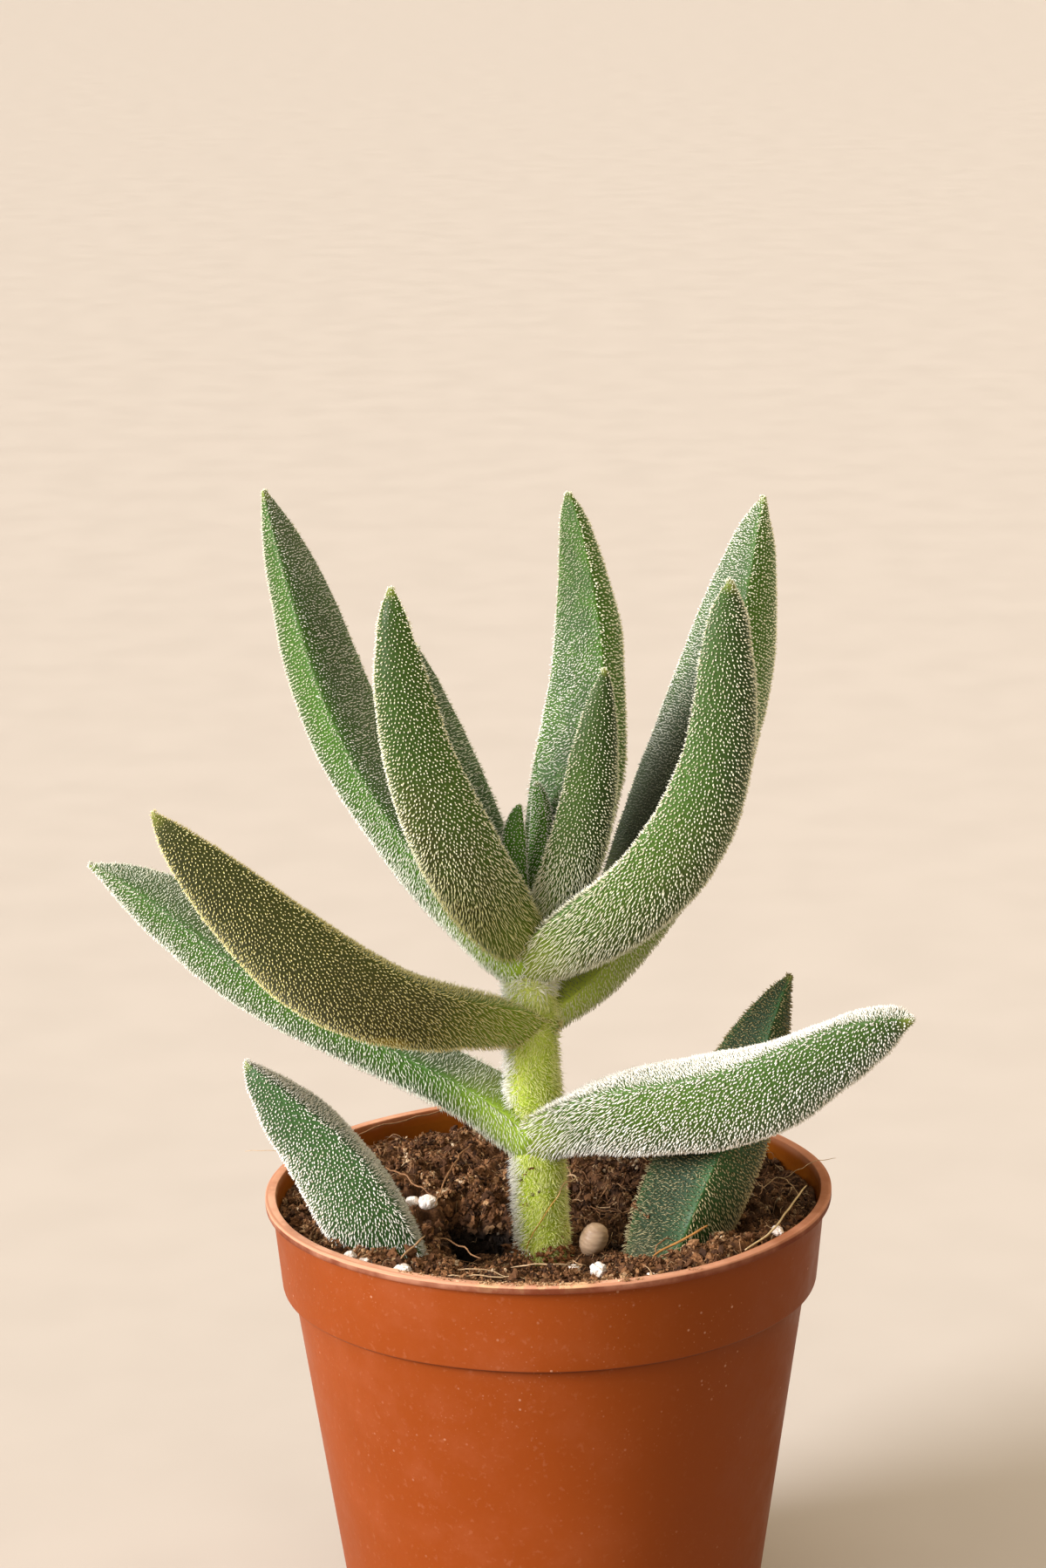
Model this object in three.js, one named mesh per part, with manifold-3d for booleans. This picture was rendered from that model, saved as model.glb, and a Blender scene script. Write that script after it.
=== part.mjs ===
// Potted succulent: a fleshy-leaved plant in a small round nursery pot.
// Millimetres, +Z up. The origin is the middle of the pot's flat underside. The plant is seen from -Y.
import * as THREE from "three";
import { mergeVertices } from "three/addons/utils/BufferGeometryUtils.js";
import Module from "manifold-3d";

const wasm = await Module();
wasm.setup();

// ---------------------------------------------------------------- driving dimensions
const GAP = 0.3; // clearance between touching pieces

// pot
const POT_HEIGHT = 48; // base to the top of the lip
const LIP_R = 27.5; // the 55 mm mouth
const LIP_INNER_R = 26.6;
const LIP_THICK = 0.8;
const COLLAR_TOP_R = 26.85; // collar wall just under the lip
const COLLAR_BOTTOM_R = 26.05;
const COLLAR_HEIGHT = 9.0;
const BODY_TOP_R = 25.0; // body wall just under the collar's step
const BODY_BASE_R = 19.4;
const WALL = 0.6;
const FLOOR = 1.0;
const DRAIN_HOLES = 5;
const DRAIN_HOLE_R = 1.7;
const DRAIN_CIRCLE_R = 12.5;

// soil
const SOIL_BOTTOM_Z = FLOOR + GAP;
const HOLLOW_Z = 42.3; // soil height in the hollow around the stem
const SOIL_RISE = 4.1; // rise from the hollow to the pot's wall

// stem: x, y, z and radius up its axis
const STEM_Y = -4.5;
const STEM = [
  [-0.5, 36.5, 2.35],
  [-0.55, 41.7, 2.45],
  [-0.65, 46.0, 2.42],
  [-0.85, 52.2, 2.4],
  [-1.05, 56.6, 2.45],
  [-1.3, 61.8, 2.33],
  [-1.42, 66.5, 2.3],
  [-1.5, 70.0, 2.2],
  [-1.5, 73.5, 2.1],
  [-1.5, 76.0, 1.75],
  [-1.5, 77.3, 1.2],
];

// leaf cross-section, as fractions of the half width: nearly flat inner face, deep rounded outer face
const INNER_BULGE = 0.16;
const OUTER_DEPTH = 1.35;

// One row per leaf. `foot` is the point that the leaf's upright middle plane passes through, `heading` the
// way the leaf points (degrees from +X), `twist` its roll at the tip. `out` and `up` give its middle line at
// the stations below, as the distance from the foot and the height, and `half` is the half width there.
const STATIONS = [0, 0.08, 0.18, 0.3, 0.42, 0.54, 0.66, 0.77, 0.87, 0.95, 1.0];
const LEAVES = {
  leaf_soil_left: {
    foot: [-14.5, -10.5], heading: 192, twist: 0, start: 0,
    out: [-2.4, -2.1, -1.2, 0.4, 2.3, 4.3, 6.5, 8.8, 10.9, 12.7, 13.8],
    up: [40.5, 43.2, 46.6, 50.4, 53.7, 56.6, 59.2, 61.3, 63.1, 64.5, 65.4],
    half: [3.6, 4.0, 4.5, 4.9, 5.0, 4.65, 4.15, 3.4, 2.35, 1.25, 0.2],
  },
  leaf_soil_right: {
    foot: [10.9, -11.2], heading: 25, twist: 0, start: 0,
    out: [-2.2, -1.8, -0.7, 1.2, 3.3, 5.4, 7.4, 9.2, 10.9, 12.5, 13.7],
    up: [40.5, 43.6, 47.3, 51.5, 55.3, 58.7, 61.9, 64.8, 67.4, 69.4, 70.6],
    half: [4.0, 4.5, 5.0, 5.3, 5.1, 4.7, 4.15, 3.35, 2.2, 1.1, 0.2],
  },
  leaf_pair1_right: {
    foot: [-1.1, -4.5], heading: -36, twist: 0, start: 0.06,
    out: [-0.9, 1.8, 5.7, 10.8, 16.2, 21.6, 26.9, 31.6, 35.8, 39.5, 41.9],
    up: [55.6, 57.3, 59.5, 61.8, 63.6, 65.4, 67.6, 70.0, 72.1, 73.2, 73.3],
    half: [2.9, 3.15, 3.95, 4.94, 5.39, 5.4, 4.85, 4.05, 3.2, 1.85, 0.2],
  },
  leaf_pair1_left: {
    foot: [-1.2, -4.5], heading: 152, twist: 0, start: 0.05,
    out: [-0.9, 2.9, 9.0, 16.0, 22.3, 28.0, 33.5, 38.4, 43.4, 47.5, 50.2],
    up: [55.9, 58.3, 60.6, 62.9, 65.1, 67.6, 70.4, 73.1, 75.0, 75.9, 76.0],
    half: [2.9, 3.2, 3.2, 3.3, 3.55, 3.95, 4.09, 3.9, 2.95, 1.5, 0.2],
  },
  leaf_pair2_left: {
    foot: [-1.4, -4.5], heading: 214, twist: 0, start: 0.07,
    out: [-1.4, 1.4, 5.6, 11.2, 16.6, 21.6, 26.4, 30.6, 34.5, 37.7, 39.8],
    up: [66.2, 67.5, 69.2, 71.3, 74.2, 77.7, 81.6, 85.2, 88.6, 91.2, 92.8],
    half: [2.6, 2.8, 3.4, 4.32, 5.18, 5.32, 4.83, 4.05, 2.9, 1.6, 0.2],
  },
  leaf_pair2_right: {
    foot: [-1.5, -4.5], heading: 40, twist: -18, start: 0.05,
    out: [-0.9, 3.5, 8.8, 13.6, 17.2, 20.1, 22.7, 25.0, 27.3, 29.2, 30.8],
    up: [66.0, 68.2, 72.3, 78.2, 84.4, 90.4, 96.4, 101.9, 106.9, 110.8, 113.0],
    half: [2.6, 2.8, 3.5, 4.8, 5.6, 5.7, 5.15, 4.3, 3.05, 1.64, 0.2],
  },
  leaf_pair3_right: {
    foot: [-1.5, -4.5], heading: -33, twist: 0, start: 0.06,
    out: [-0.9, 2.3, 6.0, 10.3, 14.3, 17.4, 19.5, 20.5, 21.0, 21.6, 22.3],
    up: [72.9, 75.2, 78.1, 81.6, 85.6, 90.2, 95.4, 100.4, 105.1, 108.8, 110.9],
    half: [2.8, 3.3, 4.1, 4.4, 4.5, 4.1, 3.55, 3.05, 2.38, 1.5, 0.2],
  },
  leaf_pair3_left: {
    foot: [-1.5, -4.5], heading: 147, twist: 0, start: 0.05,
    out: [-0.7, 3.4, 8.2, 12.7, 16.4, 19.5, 22.1, 24.2, 26.3, 28.2, 29.5],
    up: [72.9, 75.7, 79.6, 84.3, 89.1, 94.3, 99.7, 104.8, 109.3, 112.8, 115.0],
    half: [2.8, 3.1, 3.5, 3.83, 3.98, 4.0, 3.68, 3.13, 2.34, 1.2, 0.2],
  },
  leaf_pair4_front: {
    foot: [-1.5, -4.5], heading: 222, twist: 0, start: 0.06,
    out: [-0.2, 1.9, 4.1, 6.6, 9.0, 11.1, 12.7, 13.9, 14.8, 15.4, 15.8],
    up: [75.4, 77.6, 80.8, 84.7, 88.8, 93.0, 97.4, 101.6, 105.4, 108.5, 110.4],
    half: [2.6, 3.4, 4.1, 4.28, 4.05, 3.68, 3.24, 2.71, 1.9, 1.1, 0.2],
  },
  leaf_pair4_back: {
    foot: [-1.5, -4.5], heading: 40, twist: 0, start: 0.05,
    out: [0.0, 1.8, 3.4, 4.8, 5.9, 6.7, 6.9, 6.7, 6.3, 5.9, 5.7],
    up: [76.0, 79.6, 84.0, 88.8, 93.4, 98.2, 102.9, 107.3, 111.2, 114.4, 116.4],
    half: [2.4, 3.3, 4.2, 4.5, 4.27, 3.8, 3.25, 2.5, 1.8, 1.05, 0.2],
  },
  leaf_pair5_right: {
    foot: [-1.5, -4.5], heading: -33, twist: 0, start: 0.04,
    out: [1.0, 1.9, 3.1, 4.2, 5.1, 5.9, 6.6, 7.3, 7.9, 8.5, 8.9],
    up: [77.2, 78.9, 81.1, 83.8, 86.7, 89.7, 92.8, 95.6, 98.1, 100.1, 101.4],
    half: [1.6, 2.1, 2.7, 2.95, 2.97, 2.8, 2.5, 1.96, 1.39, 0.8, 0.15],
  },
  leaf_pair5_left: {
    foot: [-1.5, -4.5], heading: 147, twist: 0, start: 0.04,
    out: [0.6, 1.7, 3.2, 4.7, 6.1, 7.5, 8.8, 10.0, 10.9, 11.7, 12.1],
    up: [78.0, 79.8, 82.3, 85.2, 88.0, 90.7, 93.5, 96.0, 98.4, 100.2, 101.4],
    half: [1.4, 1.7, 2.2, 2.6, 2.77, 2.76, 2.5, 1.98, 1.38, 0.7, 0.15],
  },
  leaf_tip_front: {
    foot: [-1.5, -4.5], heading: 222, twist: 0, start: 0,
    out: [0.4, 0.6, 0.8, 1.0, 1.1, 1.15, 1.15, 1.1, 1.0, 0.85, 0.7],
    up: [78.8, 79.6, 80.6, 81.7, 82.8, 83.8, 84.8, 85.7, 86.5, 87.1, 87.5],
    half: [0.6, 0.75, 0.9, 1.05, 1.15, 1.2, 1.15, 0.95, 0.7, 0.42, 0.1],
  },
  leaf_tip_back: {
    foot: [-1.5, -4.5], heading: 40, twist: 0, start: 0,
    out: [0.5, 0.7, 0.95, 1.2, 1.4, 1.5, 1.55, 1.5, 1.45, 1.4, 1.4],
    up: [78.9, 79.9, 81.1, 82.4, 83.7, 84.9, 86.1, 87.1, 88.0, 88.8, 89.3],
    half: [0.6, 0.75, 0.95, 1.1, 1.15, 1.15, 1.05, 0.9, 0.7, 0.42, 0.1],
  },
};
const LEAF_RINGS = 15;
const LEAF_SIDES = 12;

// loose pieces on the soil: centre and half sizes
const PERLITE = {
  perlite_01: [-13.1, 4.4, 45.1, 1.3, 0.8, 0.75, 0.2],
  perlite_02: [-11.2, 4.0, 45.0, 0.8, 0.75, 0.8, 1.1],
  perlite_03: [-13.7, -21.2, 47.3, 0.85, 0.75, 0.7, 0.5],
  perlite_04: [-18.6, -16.6, 47.1, 0.6, 0.5, 0.5, 0.9],
  perlite_05: [-17.1, -18.3, 47.1, 0.6, 0.65, 0.5, 2.1],
  perlite_06: [2.2, -18.6, 46.2, 0.55, 0.5, 0.45, 0.3],
  perlite_07: [4.5, -19.6, 46.5, 0.95, 0.7, 0.6, 1.4],
  perlite_08: [9.2, 1.2, 44.6, 0.5, 0.5, 0.5, 0.0],
  perlite_09: [9.3, -22.9, 47.1, 0.42, 0.4, 0.4, 0.8],
  perlite_10: [21.6, -11.7, 47.2, 0.6, 0.5, 0.45, 1.9],
};
const PEBBLE = { at: [4.3, -5.4, 44.3], half: [1.4, 1.35, 1.72], lean: 0.28 };

// root and coir threads: points along each, and its radius
const THREADS = {
  fibre_pale: { r: 0.16, via: [[24.2, -1.2, 47.9], [23.0, -6.9, 48.0], [20.9, -13.6, 48.3], [18.6, -18.2, 48.2]] },
  fibre_brown: { r: 0.2, via: [[14.8, -17.6, 50.0], [13.2, -18.4, 49.4], [11.4, -18.9, 48.6], [9.7, -19.6, 47.9]] },
  fibre_stalk: { r: 0.2, via: [[-10.0, -14.5, 48.2], [-11.9, -17.0, 48.1], [-13.4, -19.0, 48.2]] },
};

// ---------------------------------------------------------------- shape helpers
const lerp = (a, b, t) => a + (b - a) * t;
const smooth = (a, b, x) => {
  const t = Math.min(1, Math.max(0, (x - a) / (b - a)));
  return t * t * (3 - 2 * t);
};

// A smooth curve through the values ys at the stations xs.
function through(xs, ys, x) {
  const n = xs.length;
  let i = 0;
  while (i < n - 2 && x > xs[i + 1]) i++;
  const slope = (k) => {
    if (k === 0) return (ys[1] - ys[0]) / (xs[1] - xs[0]);
    if (k === n - 1) return (ys[n - 1] - ys[n - 2]) / (xs[n - 1] - xs[n - 2]);
    const h0 = xs[k] - xs[k - 1], h1 = xs[k + 1] - xs[k];
    return ((ys[k + 1] - ys[k]) * h0 * h0 + (ys[k] - ys[k - 1]) * h1 * h1) / (h0 * h1 * (h0 + h1));
  };
  const h = xs[i + 1] - xs[i], t = (x - xs[i]) / h, t2 = t * t, t3 = t2 * t;
  return (2 * t3 - 3 * t2 + 1) * ys[i] + (t3 - 2 * t2 + t) * h * slope(i) + (-2 * t3 + 3 * t2) * ys[i + 1] + (t3 - t2) * h * slope(i + 1);
}

// A closed skin over rings of points, with a fan at each end.
function skin(rings) {
  const n = rings[0].length, pos = [], idx = [];
  for (const ring of rings) for (const p of ring) pos.push(p.x, p.y, p.z);
  const mid = (ring) => ring.reduce((a, p) => a.add(p), new THREE.Vector3()).multiplyScalar(1 / n);
  for (const ring of [rings[0], rings[rings.length - 1]]) {
    const c = mid(ring);
    pos.push(c.x, c.y, c.z);
  }
  const first = rings.length * n, last = first + 1;
  for (let r = 0; r < rings.length - 1; r++)
    for (let k = 0; k < n; k++) {
      const a = r * n + k, b = r * n + ((k + 1) % n), c = a + n, d = b + n;
      idx.push(a, b, d, a, d, c);
    }
  for (let k = 0; k < n; k++) {
    const k1 = (k + 1) % n;
    idx.push(first, k1, k);
    idx.push(last, (rings.length - 1) * n + k, (rings.length - 1) * n + k1);
  }
  const g = new THREE.BufferGeometry();
  g.setAttribute("position", new THREE.Float32BufferAttribute(pos, 3));
  g.setIndex(idx);
  return outward(g);
}

// Turns the faces round where they point inwards.
function outward(g) {
  const p = g.attributes.position, ix = g.index.array;
  const a = new THREE.Vector3(), b = new THREE.Vector3(), c = new THREE.Vector3();
  let v = 0;
  for (let i = 0; i < ix.length; i += 3) {
    a.fromBufferAttribute(p, ix[i]);
    b.fromBufferAttribute(p, ix[i + 1]);
    c.fromBufferAttribute(p, ix[i + 2]);
    v += a.dot(b.clone().cross(c));
  }
  if (v < 0) for (let i = 0; i < ix.length; i += 3) [ix[i + 1], ix[i + 2]] = [ix[i + 2], ix[i + 1]];
  return g;
}

// A geometry as a solid, and a solid's largest body as a geometry.
function solid(geometry) {
  let g = geometry.index ? geometry.toNonIndexed() : geometry.clone();
  for (const name of Object.keys(g.attributes)) if (name !== "position") g.deleteAttribute(name);
  g = mergeVertices(g, 1e-4);
  return new wasm.Manifold(new wasm.Mesh({ numProp: 3, vertProperties: g.attributes.position.array, triVerts: new Uint32Array(g.index.array) }));
}
function geometryOf(body) {
  const parts = body.decompose().sort((p, q) => q.volume() - p.volume());
  const m = parts[0].getMesh();
  const g = new THREE.BufferGeometry();
  const v = new Float32Array((m.vertProperties.length / m.numProp) * 3);
  for (let i = 0; i < v.length / 3; i++) for (let k = 0; k < 3; k++) v[i * 3 + k] = m.vertProperties[i * m.numProp + k];
  g.setAttribute("position", new THREE.BufferAttribute(v, 3));
  g.setIndex(Array.from(m.triVerts));
  return g;
}

// Points of a leaf's cross-section ring at station s, grown by `grow` all round.
function leafRings(leaf, grow) {
  const az = THREE.MathUtils.degToRad(leaf.heading);
  const u = new THREE.Vector3(Math.cos(az), Math.sin(az), 0), w = new THREE.Vector3(-Math.sin(az), Math.cos(az), 0);
  const at = (s) =>
    new THREE.Vector3(leaf.foot[0], leaf.foot[1], through(STATIONS, leaf.up, s)).addScaledVector(u, through(STATIONS, leaf.out, s));
  const rings = [];
  for (let i = 0; i < LEAF_RINGS; i++) {
    const s = lerp(leaf.start, 1, Math.pow(i / (LEAF_RINGS - 1), 0.9));
    const t = at(Math.min(1, s + 0.01)).sub(at(Math.max(0, s - 0.01))).normalize();
    const m = t.clone().cross(w); // towards the leaf's inner face
    const roll = THREE.MathUtils.degToRad(leaf.twist) * s;
    const side = w.clone().multiplyScalar(Math.cos(roll)).addScaledVector(m, Math.sin(roll));
    const face = w.clone().multiplyScalar(-Math.sin(roll)).addScaledVector(m, Math.cos(roll));
    const a = Math.max(0.05, through(STATIONS, leaf.half, s));
    const c = at(s);
    if (grow && i === 0) c.addScaledVector(t, -grow);
    if (grow && i === LEAF_RINGS - 1) c.addScaledVector(t, grow);
    const ring = [];
    for (let k = 0; k < LEAF_SIDES; k++) {
      const th = (k / LEAF_SIDES) * 2 * Math.PI, cs = Math.cos(th), sn = Math.sin(th);
      const v = sn >= 0 ? (INNER_BULGE * a + grow) * Math.pow(sn, 0.9) : -(OUTER_DEPTH * a + grow) * Math.pow(-sn, 1.1);
      ring.push(c.clone().addScaledVector(side, (a + grow) * cs).addScaledVector(face, v));
    }
    rings.push(ring);
  }
  return rings;
}
const leafSolid = (leaf, grow = 0) => solid(skin(leafRings(leaf, grow)));

function stemSolid(grow = 0, sides = 16) {
  const rings = STEM.map(([x, z, r], i) => {
    const zz = z + (i === 0 ? -grow : i === STEM.length - 1 ? grow : 0);
    const ring = [];
    for (let k = 0; k < sides; k++) {
      const th = (k / sides) * 2 * Math.PI;
      ring.push(new THREE.Vector3(x + (r + grow) * Math.cos(th), STEM_Y + (r + grow) * Math.sin(th), zz));
    }
    return ring;
  });
  return solid(skin(rings));
}

// ---------------------------------------------------------------- pot
const innerBaseR = BODY_BASE_R - WALL + 0.1;
const stepZ = POT_HEIGHT - COLLAR_HEIGHT;
const potProfile = [
  [0, 0],
  [BODY_BASE_R - 0.7, 0],
  [BODY_BASE_R, 0.7],
  [BODY_TOP_R, stepZ - 0.25],
  [COLLAR_BOTTOM_R - 0.25, stepZ],
  [COLLAR_BOTTOM_R, stepZ + 0.3],
  [COLLAR_TOP_R, POT_HEIGHT - LIP_THICK - 0.15],
  [LIP_R - 0.15, POT_HEIGHT - LIP_THICK],
  [LIP_R, POT_HEIGHT - LIP_THICK + 0.2],
  [LIP_R, POT_HEIGHT - 0.2],
  [LIP_R - 0.2, POT_HEIGHT],
  [LIP_INNER_R + 0.1, POT_HEIGHT],
  [LIP_INNER_R - 0.05, POT_HEIGHT - 0.2],
  [COLLAR_TOP_R - WALL, POT_HEIGHT - 1.2],
  [COLLAR_BOTTOM_R - WALL, stepZ + 0.7],
  [BODY_TOP_R - WALL, stepZ - 0.2],
  [innerBaseR, FLOOR + 0.6],
  [innerBaseR - 0.6, FLOOR],
  [0, FLOOR],
].map(([r, z]) => new THREE.Vector2(r, z));
const turned = (profile, segments) => {
  const g = new THREE.LatheGeometry(profile, segments);
  g.rotateX(Math.PI / 2); // the lathe's Y axis becomes +Z
  return outward(g);
};
let potBody = solid(turned(potProfile, 60));
for (let i = 0; i < DRAIN_HOLES; i++) {
  const th = (i / DRAIN_HOLES) * 2 * Math.PI + 0.3;
  const drill = new THREE.CylinderGeometry(DRAIN_HOLE_R, DRAIN_HOLE_R, 6, 16);
  drill.rotateX(Math.PI / 2);
  drill.translate(DRAIN_CIRCLE_R * Math.cos(th), DRAIN_CIRCLE_R * Math.sin(th), 0.5);
  potBody = potBody.subtract(solid(drill));
}

// ---------------------------------------------------------------- soil
function potInnerR(z) {
  if (z < stepZ) return lerp(innerBaseR, BODY_TOP_R - WALL, Math.max(0, z - FLOOR) / (stepZ - FLOOR));
  return lerp(COLLAR_BOTTOM_R - WALL, COLLAR_TOP_R - WALL, (z - stepZ) / COLLAR_HEIGHT);
}
function soilTop(x, y) {
  const d = Math.hypot(x + 0.6, y - STEM_Y), th = Math.atan2(y, x), r = Math.hypot(x, y);
  const rise = (SOIL_RISE - 0.75 * Math.sin(th) * smooth(8, 22, r)) * smooth(5, 22, d);
  const bump = (bx, by, h, s) => h * Math.exp(-((x - bx) ** 2 + (y - by) ** 2) / (2 * s * s));
  const rough = 0.22 * Math.sin(1.1 * x + 0.7) * Math.sin(0.9 * y + 1.9) + 0.14 * Math.sin(2.1 * x - 1.3 * y);
  return Math.min(
    POT_HEIGHT - 0.5,
    HOLLOW_Z + rise + rough + bump(-11, -15, 0.7, 3) + bump(13.5, -15, 0.9, 3.6) - bump(-7, 0.5, 0.9, 3),
  );
}
function soilSolid() {
  const sides = 44, topRings = 11, rings = [];
  const ringAt = (fr, z) => {
    const ring = [];
    for (let k = 0; k < sides; k++) {
      const th = (k / sides) * 2 * Math.PI;
      ring.push(fr(th, z));
    }
    return ring;
  };
  for (const z of [SOIL_BOTTOM_Z, 20, stepZ - 0.6, stepZ + 1.6])
    rings.push(ringAt((th) => { const r = potInnerR(Math.min(z, stepZ + 8)) - GAP - (z > stepZ ? 0.05 : 0.1); return new THREE.Vector3(r * Math.cos(th), r * Math.sin(th), z); }));
  for (let i = 0; i < topRings; i++) {
    const f = 1 - i / topRings;
    rings.push(ringAt((th) => {
      const r = (potInnerR(stepZ + 6.5) - GAP - 0.1) * f;
      const x = r * Math.cos(th), y = r * Math.sin(th);
      return new THREE.Vector3(x, y, soilTop(x, y));
    }));
  }
  return solid(skin(rings));
}

// ---------------------------------------------------------------- loose pieces
// A small uneven lump: an icosahedron with its corners moved in and out.
function lump([x, y, z, hx, hy, hz, turn], grow = 0, detail = 1, rough = 0.12) {
  const g = new THREE.IcosahedronGeometry(1, detail), p = g.attributes.position, v = new THREE.Vector3();
  for (let i = 0; i < p.count; i++) {
    v.fromBufferAttribute(p, i).normalize();
    const k = 1 + rough * (Math.sin(5.1 * v.x + 3 * turn) * Math.sin(4.3 * v.y + turn) + 0.6 * Math.sin(6.7 * v.z + 2 * turn));
    v.multiplyScalar(k);
    v.set(v.x * (hx + grow), v.y * (hy + grow), v.z * (hz + grow));
    p.setXYZ(i, v.x, v.y, v.z);
  }
  g.rotateZ(turn);
  g.translate(x, y, z);
  return g;
}
function pebble(grow = 0) {
  const g = new THREE.SphereGeometry(1, 14, 9);
  g.rotateX(Math.PI / 2);
  g.scale(PEBBLE.half[0] + grow, PEBBLE.half[1] + grow, PEBBLE.half[2] + grow);
  g.rotateY(PEBBLE.lean);
  g.translate(...PEBBLE.at);
  return g;
}
function thread({ r, via }) {
  const path = new THREE.CatmullRomCurve3(via.map((p) => new THREE.Vector3(...p)));
  const shape = new THREE.Shape();
  shape.absarc(0, 0, r, 0, 2 * Math.PI, false);
  return new THREE.ExtrudeGeometry(shape, { steps: 9, curveSegments: 4, bevelEnabled: false, extrudePath: path });
}

// ---------------------------------------------------------------- assembly
const plant = new THREE.Group();
plant.name = "potted_succulent";
const paint = (color, roughness) => new THREE.MeshStandardMaterial({ color, roughness, metalness: 0 });
const add = (name, geometry, material) => {
  geometry.computeVertexNormals();
  const mesh = new THREE.Mesh(geometry, material);
  mesh.name = name;
  plant.add(mesh);
};

add("pot", geometryOf(potBody), paint(0xb0562f, 0.55));

// Each leaf is cut clear of the stem and of the leaves below it, where their bases clasp each other.
const stem = stemSolid();
const stemRoom = stemSolid(GAP);
const leafBodies = {};
const rooms = [];
for (const [name, leaf] of Object.entries(LEAVES)) {
  let body = leafSolid(leaf).subtract(stemRoom);
  for (const room of rooms) body = body.subtract(room);
  leafBodies[name] = geometryOf(body);
  rooms.push(leafSolid(leaf, GAP));
}

let soil = soilSolid().subtract(stemRoom);
for (const name of ["leaf_soil_left", "leaf_soil_right"]) soil = soil.subtract(leafSolid(LEAVES[name], GAP));
for (const spec of Object.values(PERLITE)) soil = soil.subtract(solid(lump(spec, GAP)));
soil = soil.subtract(solid(pebble(GAP)));
add("soil", geometryOf(soil), paint(0x3a261b, 0.95));

add("stem", geometryOf(stem), paint(0xa3b04e, 0.7));
const leafPaint = { leaf_pair2_left: 0x59592c, leaf_pair1_right: 0x9aa58a, leaf_soil_left: 0x6f8068, leaf_soil_right: 0x4f6650 };
for (const [name, geometry] of Object.entries(leafBodies)) add(name, geometry, paint(leafPaint[name] ?? 0x6f8550, 0.75));
for (const [name, spec] of Object.entries(PERLITE)) add(name, geometryOf(solid(lump(spec)).subtract(new wasm.Manifold(stemRoom.getMesh()))), paint(0xe9e4da, 0.9));
add("pebble", geometryOf(solid(pebble())), paint(0xcbb59b, 0.6));
for (const [name, spec] of Object.entries(THREADS)) add(name, mergeVertices(outward(mergeVertices((() => { const g = thread(spec); g.deleteAttribute("normal"); g.deleteAttribute("uv"); return g; })(), 1e-4)), 1e-4), paint(0xc9a77a, 0.8));

export default plant;
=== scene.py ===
import math

import bpy
import numpy as np
from mathutils import Matrix, Vector


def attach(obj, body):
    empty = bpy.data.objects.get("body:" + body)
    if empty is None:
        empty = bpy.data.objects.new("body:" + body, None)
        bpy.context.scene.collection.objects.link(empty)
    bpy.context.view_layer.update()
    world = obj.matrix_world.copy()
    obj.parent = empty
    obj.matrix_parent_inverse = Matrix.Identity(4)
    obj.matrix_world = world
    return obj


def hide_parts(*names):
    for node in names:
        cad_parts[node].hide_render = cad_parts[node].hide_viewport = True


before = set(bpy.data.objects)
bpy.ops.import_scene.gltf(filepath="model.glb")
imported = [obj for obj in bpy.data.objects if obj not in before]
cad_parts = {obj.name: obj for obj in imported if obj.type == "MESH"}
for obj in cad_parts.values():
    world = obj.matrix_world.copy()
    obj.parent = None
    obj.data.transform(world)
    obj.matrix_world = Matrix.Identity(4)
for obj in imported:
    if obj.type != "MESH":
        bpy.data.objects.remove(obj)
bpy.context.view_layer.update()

MM = 0.001

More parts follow.
